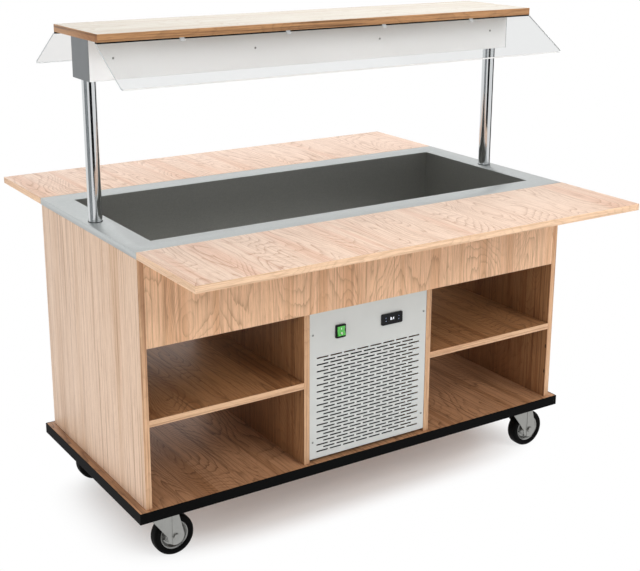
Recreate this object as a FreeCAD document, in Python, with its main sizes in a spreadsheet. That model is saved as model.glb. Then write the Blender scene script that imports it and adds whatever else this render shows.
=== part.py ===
import FreeCAD, Part
import math
import os
import re
import Sketcher

# Mobile salad bar: a wheeled wooden cabinet with a chilled stainless well, two fold-down
# side boards on folding brackets, and a lit canopy with two sneeze guards on two posts.
# Frame: +X along the bar to the right, the front faces -Y, +Z up, origin on the floor
# under the middle of the bar. All sizes are in millimetres.

doc = FreeCAD.newDocument("mobile_salad_bar")

# ---------------------------------------------------------------- driving dimensions
SIZES = {
    # cabinet
    "cab_len": 1500.0,        # rim and cabinet, end to end
    "cab_dep": 690.0,         # rim, front to back
    "rim_top": 937.0,         # working height
    "rim_face": 20.0,         # folded edge of the rim, and the side boards' thickness
    "sheet": 1.5,             # stainless sheet
    "rim_over": 2.0,          # how far the rim stands out over the panels
    "rim_wide": 78.0,         # rim between its outer edge and the well, all round
    "panel_t": 19.0,          # laminated board of the sides and aprons
    "divider_t": 19.0,
    "comp_wide": 427.0,       # machine compartment between the dividers
    "apron_drop": 41.0,       # how far the aprons reach below the foam
    "shelf_t": 20.0,
    "shelf_up": 244.0,        # underside of the shelves above the base
    "base_t": 32.0,
    "base_over_x": 23.0,      # base past the side panels' rim line
    "base_over_y": 12.5,
    "edge_t": 2.0,            # plastic edge band of the base
    # well
    "well_deep": 200.0,
    "well_lip": 24.0,         # tank flange under the rim
    "foam_t": 30.0,
    "drain_x": 90.0,
    "drain_dia": 40.0,
    "drain_lip": 6.0,         # collar of the strainer, flush with the floor
    "drain_play": 0.3,
    "drain_pipe_dia": 26.0,
    "drain_drop": 60.0,
    "drain_cup": 12.0,
    # machine panels
    "panel_gap": 11.0,        # air gap under the machine panels
    "panel_set": 1.0,         # how far the machine panels lie behind the divider edges
    "panel_play": 0.5,
    "batten": 22.0,
    "slot_len": 40.5,
    "slot_high": 4.2,
    "slot_pitch": 48.0,
    "row_pitch": 10.68,
    "slot_low": 19.0,         # lowest slot above the panel's lower edge
    "slot_head": 137.0,       # plain sheet above the slots, at least
    "slot_edge": 24.0,        # plain sheet beside the slots, at least
    "vent_len": 84.0,         # slots of the plain rear panel
    "vent_pitch_x": 94.0,
    "vent_pitch_z": 26.0,
    "panel_screw_in": 10.5,   # from the panel's upright edge
    "panel_screw_low": 54.0,
    "panel_screw_top": 66.0,  # from the panel's upper edge
    "screw_dia": 7.0,
    "screw_head": 1.8,
    # rocker switch
    "switch_x": -107.0,
    "switch_down": 69.0,      # switch centre below the panel's upper edge
    "switch_wide": 34.0,
    "switch_high": 40.0,
    "switch_proud": 6.0,
    "switch_wall": 2.0,       # flange past the box behind the panel
    "switch_skin": 1.5,       # wall of that box
    "switch_deep": 20.0,
    "switch_floor": 6.0,
    "rocker_play": 0.5,
    "rocker_bump": 4.0,
    "rocker_short": 2.4,      # each end, so that it can tilt
    "rocker_tilt": 9.0,
    "rocker_pin": 1.5,        # radius of the stub pins
    "rocker_reach": 1.0,
    "rocker_in": 8.0,
    # thermostat
    "thermo_x": 80.0,
    "thermo_down": 65.0,
    "thermo_wide": 77.0,
    "thermo_high": 35.0,
    "thermo_proud": 5.0,
    "thermo_round": 4.0,
    "thermo_edge": 3.0,
    "thermo_deep": 58.0,
    "window_wide": 32.0,
    "window_high": 15.0,
    "window_deep": 0.8,
    "key_x": 24.0,
    "key_z": 5.0,
    "key_wide": 7.0,
    "key_high": 5.0,
    "key_play": 0.25,
    "key_deep": 3.0,
    "key_rise": 0.7,
    "key_under": 0.6,
    # condensing unit
    "core_wide": 300.0,
    "core_high": 270.0,
    "core_t": 45.0,
    "core_back": 40.0,        # condenser face behind the front panel
    "shroud_deep": 40.0,
    "motor_dia": 50.0,
    "motor_len": 26.0,
    "shaft_dia": 8.0,
    "shaft_len": 26.0,
    "shaft_play": 0.05,
    "fan_gap": 6.0,           # hub from the motor
    "hub_dia": 54.0,
    "hub_len": 18.0,
    "blade_len": 80.0,
    "blade_wide": 46.0,
    "blade_t": 2.0,
    "blade_pitch": 32.0,
    "shell_dia": 160.0,
    "shell_high": 185.0,
    "shell_round": 38.0,
    "shell_foot": 20.0,
    "shell_y": 130.0,
    "foot_x": 190.0,
    "foot_y": 150.0,
    "foot_t": 4.0,
    # canopy
    "post_in": 34.0,          # post axis from the rim's end
    "post_dia": 40.0,
    "post_wall": 2.0,
    "canopy_up": 542.0,       # top of the canopy board above the rim
    "canopy_dep": 308.0,
    "canopy_t": 22.0,
    "house_in": 12.0,         # housing from the canopy board's end
    "house_dep": 117.0,
    "house_high": 116.0,
    "house_lip": 12.0,
    "diffuser_t": 3.0,
    "diffuser_play": 0.5,
    "diffuser_off": 8.0,      # gap between the diffuser's end and the post
    "strip_wide": 40.0,
    "strip_high": 25.0,
    "strip_end": 60.0,
    "rail_high": 4.0,
    "rail_dep": 16.0,
    "glass_over": 3.0,        # guard past the canopy board's end
    "glass_t": 5.0,
    "glass_reach": 154.0,     # how far each guard slants outwards
    "glass_fall": 98.0,       # and downwards
    "glass_round": 8.0,
    "glass_set": 1.0,
    "clip_in": 245.0,         # outer clips from the canopy board's end
    "clip_wide": 14.0,
    "clip_high": 9.0,
    "clip_t": 2.0,
    "house_screw_in": 71.0,   # outer screws from the housing's end
    "house_screw_z": 59.0,    # above the housing's lower edge
    # fold-down boards
    "board_dep": 333.0,
    "board_gap": 1.0,
    "bracket_in": 250.0,      # brackets from the board's end
    "pivot_out": 8.0,         # pivot from the rim's face
    "pivot_drop": 20.0,       # pivot below the board
    "strut_drop": 85.0,       # lower pivot below the upper one
    "strut_len": 140.0,
    "strut_wide": 12.0,
    "strut_t": 5.0,
    "pin_dia": 6.0,
    "pin_play": 0.05,
    "eye_dia": 14.0,
    "arm_len": 240.0,
    "arm_in": 12.0,           # clear width inside the arm
    "iron": 2.0,              # bracket sheet
    "arm_play": 1.0,
    "leg_over": 9.0,          # leg past each pivot
    "leg_out": 16.0,
    "slide_high": 6.6,
    "slide_start": 104.0,
    "slide_in": 8.0,          # slot's end from the arm's end
    "notch_wide": 8.0,        # way in for the lower pin when the arm hangs down
    "arm_foot": 7.0,          # arm wall below the pivot line
    # casters
    "caster_head": 35.0,      # build height past the wheel
    "caster_in": 99.0,        # swivel axis from the base's end
    "caster_side": 77.5,      # swivel axis from the base's long edge
    "plate_x": 105.0,
    "plate_y": 85.0,
    "plate_t": 3.0,
    "bolt_x": 80.0,
    "bolt_y": 60.0,
    "bolt_dia": 13.0,
    "bolt_high": 5.5,
    "race_dia": 62.0,
    "race_high": 7.4,
    "race_play": 0.4,
    "king_dia": 12.0,
    "king_play": 0.06,
    "king_nut": 22.0,
    "king_nut_high": 7.0,
    "trail": 32.0,
    "wheel_dia": 125.0,
    "tyre_wide": 37.0,
    "tyre_edge": 30.0,        # tyre width where it meets the rim
    "tyre_round": 9.0,
    "tyre_side": 7.5,
    "rim_dia": 86.0,
    "wheel_hub": 26.0,
    "hub_side": 1.0,          # hub from each fork leg
    "disc_t": 7.0,
    "disc_step": 27.0,
    "disc_flare": 36.0,
    "axle_dia": 10.0,
    "axle_play": 0.06,
    "axle_nut": 17.0,
    "axle_nut_t": 5.0,
    "fork_in": 46.0,
    "fork_t": 3.0,
    "fork_step": 1.2,         # joggle of the legs at the crease
    "fork_half": 38.0,        # crown to either side of the swivel axis
    "fork_bend": 4.0,
    "fork_end": 26.0,         # radius of the legs' round end
    "fork_hip_x": 15.0,
    "fork_hip_z": 49.5,
    "fork_ease": 0.9,         # lets the right edge run into the round end
    "fork_slope_z": 64.5,
    "fork_waist_x": 17.0,
    "fork_waist_z": 8.5,
    "fork_crease": 11.5,
}

# Places that several pieces share, each written once in terms of the sizes above.
CASTER_HIGH = "(wheel_dia + caster_head)"
BASE_TOP = "(wheel_dia + caster_head + base_t)"
BASE_LEN = "(cab_len + 2*base_over_x)"
BASE_DEP = "(cab_dep + 2*base_over_y)"
CARCASS_TOP = "(rim_top - sheet)"
CARCASS_DEP = "(cab_dep - 2*rim_over)"
CARCASS_HALF = "(cab_len/2 - rim_over)"
WELL_LEN = "(cab_len - 2*rim_wide)"
WELL_DEP = "(cab_dep - 2*rim_wide)"
WELL_FLOOR = "(rim_top - sheet - well_deep)"
FOAM_LOW = "(rim_top - sheet - well_deep - sheet - foam_t)"
APRON_LOW = "(%s - apron_drop)" % FOAM_LOW
BAY_HIGH = "(%s - %s)" % (APRON_LOW, BASE_TOP)
DIVIDER_OUT = "(comp_wide/2 + divider_t)"
PANEL_LOW = "(%s + panel_gap)" % BASE_TOP
PANEL_HIGH = "(%s - panel_gap)" % BAY_HIGH
PANEL_FACE = "(cab_dep/2 - rim_over - panel_set)"
ROCKER_HOLE_X = "(switch_wide - 2*switch_wall - 2*switch_skin)"
ROCKER_HOLE_Z = "(switch_high - 2*switch_wall - 2*switch_skin)"
SWITCH_UP = "(%s - switch_down)" % APRON_LOW
THERMO_UP = "(%s - thermo_down)" % APRON_LOW
DRAIN_COLLAR = "(drain_dia + 2*drain_lip)"
POST_X = "(cab_len/2 - post_in)"
CANOPY_LOW = "(rim_top + canopy_up - canopy_t)"
HOUSE_LOW = "(rim_top + canopy_up - canopy_t - house_high)"
HOUSE_LEN = "(cab_len - 2*house_in)"
GUARD_TOP = "(rim_top + canopy_up - canopy_t - rail_high)"
GUARD_EDGE = "(canopy_dep/2 - glass_set)"
BRACKET_X = "(cab_len/2 - bracket_in)"
PIVOT_Y = "(cab_dep/2 + pivot_out)"
PIVOT_Z = "(rim_top - rim_face - pivot_drop)"
APRON_FACE = "(cab_dep/2 - rim_over)"
FORK_TOP = "(wheel_dia + caster_head - plate_t - race_high - race_play)"
SIDES = (("left", -1), ("right", 1))
FACES = (("front", -1), ("back", 1))
RING = ("front", "right", "back", "left")
CORNERS = (("front_left", -1, -1), ("front_right", 1, -1), ("back_left", -1, 1), ("back_right", 1, 1))
BLADES = 5
FULL_TURN = 360.0
NEAR = 0.01                   # two lengths closer than this are the same


def build_sheet():
    """Write the driving dimensions into one spreadsheet, one named cell each."""
    sheet = doc.addObject("Spreadsheet::Sheet", "Dim")
    for row, (name, value) in enumerate(SIZES.items(), start=1):
        sheet.set("A%d" % row, str(value))
        sheet.setAlias("A%d" % row, name)
    doc.recompute()
    return sheet


def cells(text):
    """Turn size names in an expression into references to the spreadsheet's cells."""
    return re.sub(r"[a-z_]+", lambda word: refer(word.group(0)), text)


def refer(word):
    return "Dim." + word if word in SIZES else word


# ---------------------------------------------------------------- modelling helpers
def place(piece, along="0", across="0", up="0"):
    """Bind a piece's place to the sizes."""
    piece.setExpression(".Placement.Base.x", cells(along))
    piece.setExpression(".Placement.Base.y", cells(across))
    piece.setExpression(".Placement.Base.z", cells(up))


def block(label, size, centre_x="0", centre_y="0", low="0"):
    """A plain board or block, centred in X and Y, standing on the height low."""
    piece = doc.addObject("Part::Box", label)
    for side, value in zip(("Length", "Width", "Height"), size):
        piece.setExpression(side, cells(value))
    place(piece, "%s - (%s)/2" % (centre_x, size[0]), "%s - (%s)/2" % (centre_y, size[1]), low)
    return piece


def new_body(label):
    return doc.addObject("PartDesign::Body", label)


def origin_part(body, role):
    return next(item for item in body.Origin.OriginFeatures if item.Role == role)


def new_sketch(body, role, name):
    """A sketch on one of the body's own origin planes."""
    sketch = body.newObject("Sketcher::SketchObject", name)
    sketch.AttachmentSupport = (origin_part(body, role), "")
    sketch.MapMode = "FlatFace"
    return sketch


def pin_down(sketch, kind, geometry, point, value):
    number = sketch.addConstraint(Sketcher.Constraint(kind, -1, 1, geometry, point, 1.0))
    sketch.setExpression("Constraints[%d]" % number, cells(value))


def outline(sketch, points):
    """A closed outline of straight lines through points given as size expressions."""
    count = len(points)
    first = sketch.GeometryCount
    for index in range(count):
        start = math.radians(FULL_TURN * index / count)
        end = math.radians(FULL_TURN * (index + 1) / count)
        sketch.addGeometry(Part.LineSegment(FreeCAD.Vector(math.cos(start), math.sin(start), 0),
                                            FreeCAD.Vector(math.cos(end), math.sin(end), 0)), False)
    for index in range(count):
        follower = first + (index + 1) % count
        sketch.addConstraint(Sketcher.Constraint("Coincident", first + index, 2, follower, 1))
    for index, (across, up) in enumerate(points):
        pin_down(sketch, "DistanceX", first + index, 1, across)
        pin_down(sketch, "DistanceY", first + index, 1, up)


def rectangle(sketch, low_x, low_y, high_x, high_y):
    outline(sketch, [(low_x, low_y), (high_x, low_y), (high_x, high_y), (low_x, high_y)])


def centred(sketch, wide, high):
    rectangle(sketch, "-(%s)/2" % wide, "-(%s)/2" % high, "(%s)/2" % wide, "(%s)/2" % high)


def circle(sketch, across, up, diameter):
    start = FreeCAD.Vector(1, 1, 0)
    number = sketch.addGeometry(Part.Circle(start, FreeCAD.Vector(0, 0, 1), 1.0), False)
    size = sketch.addConstraint(Sketcher.Constraint("Diameter", number, 2.0))
    sketch.setExpression("Constraints[%d]" % size, cells(diameter))
    pin_down(sketch, "DistanceX", number, 3, across)
    pin_down(sketch, "DistanceY", number, 3, up)


def add_feature(body, kind, name, sketch):
    feature = body.newObject("PartDesign::" + kind, name)
    feature.Profile = sketch
    sketch.Visibility = False
    return feature


def pad(body, sketch, length, middle=False, back=False):
    feature = add_feature(body, "Pad", sketch.Name + "_pad", sketch)
    feature.setExpression("Length", cells(length))
    feature.Midplane = middle
    feature.Reversed = back
    doc.recompute()
    return feature


def pocket(body, sketch, depth, back=False, middle=False):
    """Cut a sketch's outline to a depth; the volume must shrink."""
    before = body.Shape.Volume
    feature = add_feature(body, "Pocket", sketch.Name + "_cut", sketch)
    feature.setExpression("Length", cells(depth))
    feature.Reversed = back
    feature.Midplane = middle
    doc.recompute()
    assert body.Shape.Volume < before, body.Label
    return feature


def turn(body, sketch, axis="V_Axis"):
    feature = add_feature(body, "Revolution", sketch.Name + "_turn", sketch)
    feature.ReferenceAxis = (sketch, [axis])
    feature.Angle = FULL_TURN
    doc.recompute()
    return feature


def grid(body, cut, sketch, columns, pitch_x, rows, pitch_z):
    """Repeat a cut along the sketch's two axes."""
    multi = body.newObject("PartDesign::MultiTransform", cut.Name + "_grid")
    multi.Originals = [cut]
    steps = []
    for axis, count, pitch in (("H_Axis", columns, pitch_x), ("V_Axis", rows, pitch_z)):
        row = body.newObject("PartDesign::LinearPattern", cut.Name + "_" + axis)
        row.Direction = (sketch, [axis])
        row.setExpression("Length", cells("%s*(%s - 1)" % (pitch, count)))
        row.setExpression("Occurrences", cells(count))
        steps.append(row)
    multi.Transformations = steps
    body.Tip = multi
    doc.recompute()
    return multi


def round_edges(body, radius, wanted):
    """Fillet the edges of the body that the test picks out."""
    doc.recompute()
    base = body.Tip
    names = ["Edge%d" % number for number, edge in enumerate(base.Shape.Edges, start=1) if wanted(edge)]
    feature = body.newObject("PartDesign::Fillet", base.Name + "_round")
    feature.Base = (base, names)
    feature.setExpression("Radius", cells(radius))
    doc.recompute()
    return feature


def is_upright(edge):
    return spans(edge)[2] and not spans(edge)[0] and not spans(edge)[1]


def spans(edge):
    """Whether an edge reaches along X, Y and Z."""
    box = edge.BoundBox
    return [length > NEAR for length in (box.XLength, box.YLength, box.ZLength)]


def mirrored(label, source, normal):
    """A mirror image of a piece in the plane through the origin."""
    image = doc.addObject("Part::Mirroring", label)
    image.Source = source
    image.Normal = normal
    return image


def together(label, pieces):
    """One node of several like pieces that stay separate solids."""
    group = doc.addObject("Part::Compound", label)
    group.Links = pieces
    return group


# ---------------------------------------------------------------- cabinet
def base():
    """Base board with a plastic band round its edge."""
    board = block("base_board", (BASE_LEN + " - 2*edge_t", BASE_DEP + " - 2*edge_t", "base_t"),
                  low=CASTER_HIGH)
    band = new_body("base_edge_band")
    ring = new_sketch(band, "XY_Plane", "band_ring")
    centred(ring, BASE_LEN, BASE_DEP)
    centred(ring, "(%s - 2*edge_t)" % BASE_LEN, "(%s - 2*edge_t)" % BASE_DEP)
    pad(band, ring, "base_t")
    place(band, up=CASTER_HIGH)
    return [board, band]


def carcass():
    """Side panels, notched dividers, aprons and shelves."""
    pieces = []
    full_high = "(%s - %s)" % (CARCASS_TOP, BASE_TOP)
    bay_wide = "(%s - panel_t - %s)" % (CARCASS_HALF, DIVIDER_OUT)
    apron_high = "(%s - %s)" % (CARCASS_TOP, APRON_LOW)
    for side, sign in SIDES:
        pieces.append(block("side_panel_" + side, ("panel_t", CARCASS_DEP, full_high),
                            "%d*(%s - panel_t/2)" % (sign, CARCASS_HALF), low=BASE_TOP))
        pieces.append(block("shelf_" + side, (bay_wide, CARCASS_DEP, "shelf_t"),
                            "%d*(%s + %s/2)" % (sign, DIVIDER_OUT, bay_wide), low=BASE_TOP + " + shelf_up"))
        pieces.append(divider("divider_" + side, sign))
    for face, sign in FACES:
        pieces.append(block(face + "_apron", ("2*(%s - panel_t)" % CARCASS_HALF, "panel_t", apron_high),
                            "0", "%d*(%s - panel_t/2)" % (sign, APRON_FACE), APRON_LOW))
    return pieces


def divider(label, sign):
    """Upright board, notched at both top corners round the aprons."""
    body = new_body(label)
    side = new_sketch(body, "YZ_Plane", label + "_side")
    half = "(%s/2)" % CARCASS_DEP
    inner = "(%s - panel_t)" % half
    crown = "(%s - %s)" % (FOAM_LOW, BASE_TOP)
    outline(side, [("-" + half, "0"), (half, "0"), (half, BAY_HIGH), (inner, BAY_HIGH), (inner, crown),
                   ("-" + inner, crown), ("-" + inner, BAY_HIGH), ("-" + half, BAY_HIGH)])
    pad(body, side, "divider_t", middle=True)
    place(body, "%d*(comp_wide/2 + divider_t/2)" % sign, up=BASE_TOP)
    return body


# ---------------------------------------------------------------- chilled well
def ring_side(label, name, side, inside, outside, high, back=True):
    """One mitred side of a rectangular ring between two rectangles, as a pad on a body of its own."""
    body = new_body(label)
    add_ring_side(body, name, side, inside, outside, high, back)
    return body


def add_ring_side(body, name, side, inside, outside, high, back=True):
    """Pad one mitred side of the ring between two rectangles, down from the height 0 or up."""
    sketch = new_sketch(body, "XY_Plane", name)
    (in_x, in_y), (out_x, out_y) = [("(%s/2)" % wide, "(%s/2)" % deep) for wide, deep in (inside, outside)]
    if side in ("front", "back"):
        sign = "-" if side == "front" else ""
        outline(sketch, [("-" + in_x, sign + in_y), (in_x, sign + in_y), (out_x, sign + out_y),
                         ("-" + out_x, sign + out_y)])
    else:
        sign = "-" if side == "left" else ""
        outline(sketch, [(sign + in_x, "-" + in_y), (sign + in_x, in_y), (sign + out_x, out_y),
                         (sign + out_x, "-" + out_y)])
    pad(body, sketch, high, back=back)


def top_rim():
    """Stainless top round the well: four strips, folded down outside and welded on their mitres."""
    opening = (WELL_LEN, WELL_DEP)
    outer = ("cab_len", "cab_dep")
    inner = ("(cab_len - 2*sheet)", "(cab_dep - 2*sheet)")
    strips = []
    for side in RING:
        body = ring_side("rim_strip_" + side, "rim_flat_" + side, side, opening, outer, "sheet")
        add_ring_side(body, "rim_fold_" + side, side, inner, outer, "rim_face")
        place(body, up="rim_top")
        strips.append(body)
    return together("top_rim", strips)


def well_tank():
    """Welded tank: four walls with their upper edges turned out, and a floor between them."""
    inner = (WELL_LEN, WELL_DEP)
    outer = ("(%s + 2*sheet)" % WELL_LEN, "(%s + 2*sheet)" % WELL_DEP)
    lip = ("(%s + 2*well_lip)" % WELL_LEN, "(%s + 2*well_lip)" % WELL_DEP)
    sheets = []
    for side in RING:
        body = ring_side("tank_wall_" + side, "tank_side_" + side, side, inner, outer, "well_deep + sheet")
        add_ring_side(body, "tank_lip_" + side, side, inner, lip, "sheet")
        place(body, up=CARCASS_TOP)
        sheets.append(body)
    floor = slab("tank_floor", WELL_LEN, WELL_DEP, "sheet", DRAIN_COLLAR + " + 2*drain_play")
    place(floor, up=WELL_FLOOR)
    return together("well_tank", sheets + [floor])


def insulation():
    """Foam boards round the tank, from under its turned edges, and one below its floor."""
    inner = ("(%s + 2*sheet)" % WELL_LEN, "(%s + 2*sheet)" % WELL_DEP)
    outer = ("(%s + 2*sheet + 2*foam_t)" % WELL_LEN, "(%s + 2*sheet + 2*foam_t)" % WELL_DEP)
    sheets = []
    for side in RING:
        body = ring_side("foam_side_" + side, "foam_plan_" + side, side, inner, outer, "well_deep")
        place(body, up=CARCASS_TOP + " - sheet")
        sheets.append(body)
    floor = slab("foam_floor", outer[0], outer[1], "foam_t", "drain_dia + 1")
    place(floor, up=WELL_FLOOR + " - sheet")
    return together("insulation_foam", sheets + [floor])


def slab(label, wide, deep, thick, hole_dia):
    """A flat rectangle under the height 0, with the drain's hole."""
    body = new_body(label)
    plan = new_sketch(body, "XY_Plane", label + "_plan")
    centred(plan, wide, deep)
    circle(plan, "drain_x", "0", hole_dia)
    pad(body, plan, thick, back=True)
    return body


def drain():
    """Strainer cup, flush in the tank's floor, with its outlet pipe and cap."""
    body = new_body("drain_fitting")
    half = new_sketch(body, "XZ_Plane", "drain_half")
    rim = "(%s/2)" % DRAIN_COLLAR
    neck = "(drain_pipe_dia/2)"
    cup = "(drain_dia/2 - drain_play)"
    outline(half, [("0", "-drain_drop"), (neck, "-drain_drop"), (neck, "-drain_cup"), (cup, "-sheet"),
                   (rim, "-sheet"), (rim, "0"), (cup + " - sheet", "0"), (neck + " - sheet", "-drain_cup"),
                   ("0", "-drain_cup")])
    turn(body, half)
    place(body, "drain_x", up=WELL_FLOOR)
    return body


# ---------------------------------------------------------------- machine compartment
def machine_panel(label):
    """Blank sheet panel on its own front plane, lower edge at the height 0."""
    body = new_body(label)
    blank = new_sketch(body, "XZ_Plane", label + "_blank")
    half = "(comp_wide/2 - panel_play)"
    rectangle(blank, "-" + half, "0", half, PANEL_HIGH)
    pad(body, blank, "sheet", back=True)
    return body


def slot_rows(body, name, columns, rows, first_up):
    """Rows of grille slots, every second row of the panel."""
    slot = new_sketch(body, "XZ_Plane", name)
    start = "(-(%s - 1)*slot_pitch/2 - slot_len/2)" % columns
    rectangle(slot, start, first_up, start + " + slot_len", first_up + " + slot_high")
    cut = pocket(body, slot, "4*sheet", middle=True)
    grid(body, cut, slot, columns, "slot_pitch", rows, "2*row_pitch")


def front_panel():
    """Grille of staggered slots under the cut-outs of the switch and the thermostat."""
    body = machine_panel("front_grille_panel")
    cuts = new_sketch(body, "XZ_Plane", "panel_cutouts")
    window(cuts, "switch_x", "(%s - %s)" % (SWITCH_UP, PANEL_LOW),
           "(switch_wide - 2*switch_wall + panel_play)", "(switch_high - 2*switch_wall + panel_play)")
    window(cuts, "thermo_x", "(%s - %s)" % (THERMO_UP, PANEL_LOW),
           "(thermo_wide - 2*thermo_edge + panel_play)", "(thermo_high - 2*thermo_edge + panel_play)")
    pocket(body, cuts, "4*sheet", middle=True)
    columns = "(floor((comp_wide - 2*panel_play - 2*slot_edge - slot_len)/slot_pitch) + 1)"
    rows = "(floor((%s - slot_head - slot_low - slot_high)/(2*row_pitch)) + 1)" % PANEL_HIGH
    slot_rows(body, "slots_wide", columns, rows, "slot_low")
    slot_rows(body, "slots_between", "(%s - 1)" % columns, "(%s - 1)" % rows, "(slot_low + row_pitch)")
    place(body, "0", "-" + PANEL_FACE, PANEL_LOW)
    return body


def window(sketch, across, up, wide, high):
    rectangle(sketch, "%s - %s/2" % (across, wide), "%s - %s/2" % (up, high),
              "%s + %s/2" % (across, wide), "%s + %s/2" % (up, high))


def rear_panel():
    """Plain panel behind the machine, with long vents."""
    body = machine_panel("back_vent_panel")
    slot = new_sketch(body, "XZ_Plane", "vent")
    columns = "(floor((comp_wide - 2*slot_edge - vent_len)/vent_pitch_x) + 1)"
    rows = "(floor((%s - slot_head - slot_low)/vent_pitch_z) + 1)" % PANEL_HIGH
    start = "(-(%s - 1)*vent_pitch_x/2 - vent_len/2)" % columns
    rectangle(slot, start, "slot_low", start + " + vent_len", "slot_low + slot_high")
    cut = pocket(body, slot, "4*sheet", middle=True)
    grid(body, cut, slot, columns, "vent_pitch_x", rows, "vent_pitch_z")
    place(body, "0", PANEL_FACE + " - sheet", PANEL_LOW)
    return body


def battens():
    """Four wooden strips that the machine panels are screwed to."""
    strips = []
    for side, sign in SIDES:
        for face, facing in FACES:
            strips.append(block("batten_%s_%s" % (side, face), ("batten", "batten", PANEL_HIGH),
                                "%d*(comp_wide/2 - batten/2)" % sign,
                                "%d*(%s - sheet - batten/2)" % (facing, PANEL_FACE), PANEL_LOW))
    return together("panel_battens", strips)


def screw(label, along, across, up, facing):
    """A flat pan head against a face that looks along Y."""
    body = new_body(label)
    half = new_sketch(body, "XZ_Plane", label + "_half")
    outline(half, [("0", "0"), ("screw_dia/2", "0"), ("screw_dia/2 - screw_head/3", "screw_head"),
                   ("0", "screw_head")])
    turn(body, half)
    body.Placement.Rotation = FreeCAD.Rotation(FreeCAD.Vector(1, 0, 0), -90 * facing)
    place(body, along, across, up)
    return body


def screws():
    """All the panel and housing screws, one pan head each."""
    heads = []
    rows = []
    for face, facing in FACES:
        panel_y = "%d*%s" % (facing, PANEL_FACE)
        house_y = "%d*house_dep/2" % facing
        for name, sign in SIDES:
            for up in (PANEL_LOW + " + panel_screw_low", APRON_LOW + " - panel_screw_top"):
                rows.append(("%d*(comp_wide/2 - panel_play - panel_screw_in)" % sign, panel_y, up, facing))
            for share in (1, 3):
                rows.append(("%d*(%s/2 - house_screw_in)/%d" % (sign, HOUSE_LEN, share), house_y,
                             "%s + house_screw_z" % HOUSE_LOW, facing))
    for number, (along, across, up, facing) in enumerate(rows, start=1):
        heads.append(screw("screw_head_%d" % number, along, across, up, facing))
    return together("screws", heads)


# ---------------------------------------------------------------- switch and thermostat
def switch_frame():
    """Collar of the switch: a flange before the panel and an open box behind it."""
    body = new_body("switch_frame")
    flange = new_sketch(body, "XZ_Plane", "switch_flange")
    centred(flange, "switch_wide", "switch_high")
    pad(body, flange, "switch_proud")
    round_edges(body, "switch_wall", lambda edge: spans(edge) == [False, True, False])
    shell = new_sketch(body, "XZ_Plane", "switch_shell")
    centred(shell, "(switch_wide - 2*switch_wall)", "(switch_high - 2*switch_wall)")
    pad(body, shell, "switch_deep", back=True)
    well = new_sketch(body, "XZ_Plane", "switch_well")
    centred(well, ROCKER_HOLE_X, ROCKER_HOLE_Z)
    pocket(body, well, "2*(switch_deep - switch_floor)", middle=True)
    holes = new_sketch(body, "YZ_Plane", "switch_pivot")
    circle(holes, "rocker_in - switch_proud", "0", "2*rocker_pin + 2*pin_play")
    pocket(body, holes, ROCKER_HOLE_X + " + 2*rocker_reach", middle=True)
    place(body, "switch_x", "-" + PANEL_FACE, SWITCH_UP)
    return body


def rocker():
    """Rocker with a shallow V face, pressed at its upper end, on two stub pins."""
    body = new_body("switch_rocker")
    side = new_sketch(body, "YZ_Plane", "rocker_side")
    half = "(%s/2 - rocker_short)" % ROCKER_HOLE_Z
    front = "(-rocker_in - rocker_bump)"
    outline(side, [("rocker_pin*2", "-%s/2" % half), ("rocker_pin*2", "%s/2" % half), ("-rocker_pin", half),
                   (front, half), ("-rocker_in", "0"), (front, "-" + half), ("-rocker_pin", "-" + half)])
    pad(body, side, ROCKER_HOLE_X + " - 2*rocker_play", middle=True)
    stub = new_sketch(body, "YZ_Plane", "rocker_stub")
    circle(stub, "0", "0", "2*rocker_pin")
    pad(body, stub, ROCKER_HOLE_X + " + 2*rocker_reach - rocker_play", middle=True)
    body.Placement.Rotation = FreeCAD.Rotation(FreeCAD.Vector(1, 0, 0), -SIZES["rocker_tilt"])
    place(body, "switch_x", "-%s + rocker_in - switch_proud" % PANEL_FACE, SWITCH_UP)
    return body


def thermostat():
    """Rounded bezel with a sunk window and four key pockets, on a case behind the panel."""
    body = new_body("thermostat_case")
    bezel = new_sketch(body, "XZ_Plane", "thermo_bezel")
    centred(bezel, "thermo_wide", "thermo_high")
    pad(body, bezel, "thermo_proud")
    round_edges(body, "thermo_round", lambda edge: spans(edge) == [False, True, False])
    case = new_sketch(body, "XZ_Plane", "thermo_box")
    centred(case, "(thermo_wide - 2*thermo_edge)", "(thermo_high - 2*thermo_edge)")
    pad(body, case, "thermo_deep", back=True)
    sunk = new_sketch(body, "XZ_Plane", "thermo_window")
    centred(sunk, "window_wide", "window_high")
    front_pocket(body, sunk, "window_deep")
    keys = new_sketch(body, "XZ_Plane", "thermo_keys")
    for _, across, up in KEYS:
        window(keys, across, up, "(key_wide + 2*key_play)", "(key_high + 2*key_play)")
    front_pocket(body, keys, "key_deep")
    place(body, "thermo_x", "-" + PANEL_FACE, THERMO_UP)
    return body


def front_pocket(body, sketch, depth):
    """Cut from the bezel's front face inwards."""
    sketch.setExpression(".AttachmentOffset.Base.z", cells("thermo_proud"))
    pocket(body, sketch, depth)


KEYS = [("1", "-key_x", "key_z"), ("2", "-key_x", "-key_z"),
        ("3", "key_x", "key_z"), ("4", "key_x", "-key_z")]


def keys():
    """The thermostat's four short keys."""
    pieces = []
    for name, across, up in KEYS:
        body = new_body("thermostat_key_" + name)
        cap = new_sketch(body, "XZ_Plane", "key_face_" + name)
        centred(cap, "key_wide", "key_high")
        pad(body, cap, "key_deep - key_under + key_rise")
        round_edges(body, "key_play*3", lambda edge: spans(edge) == [False, True, False])
        place(body, "thermo_x + " + across, "-%s - thermo_proud + key_deep - key_under" % PANEL_FACE,
              "%s + %s" % (THERMO_UP, up))
        pieces.append(body)
    return pieces


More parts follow.
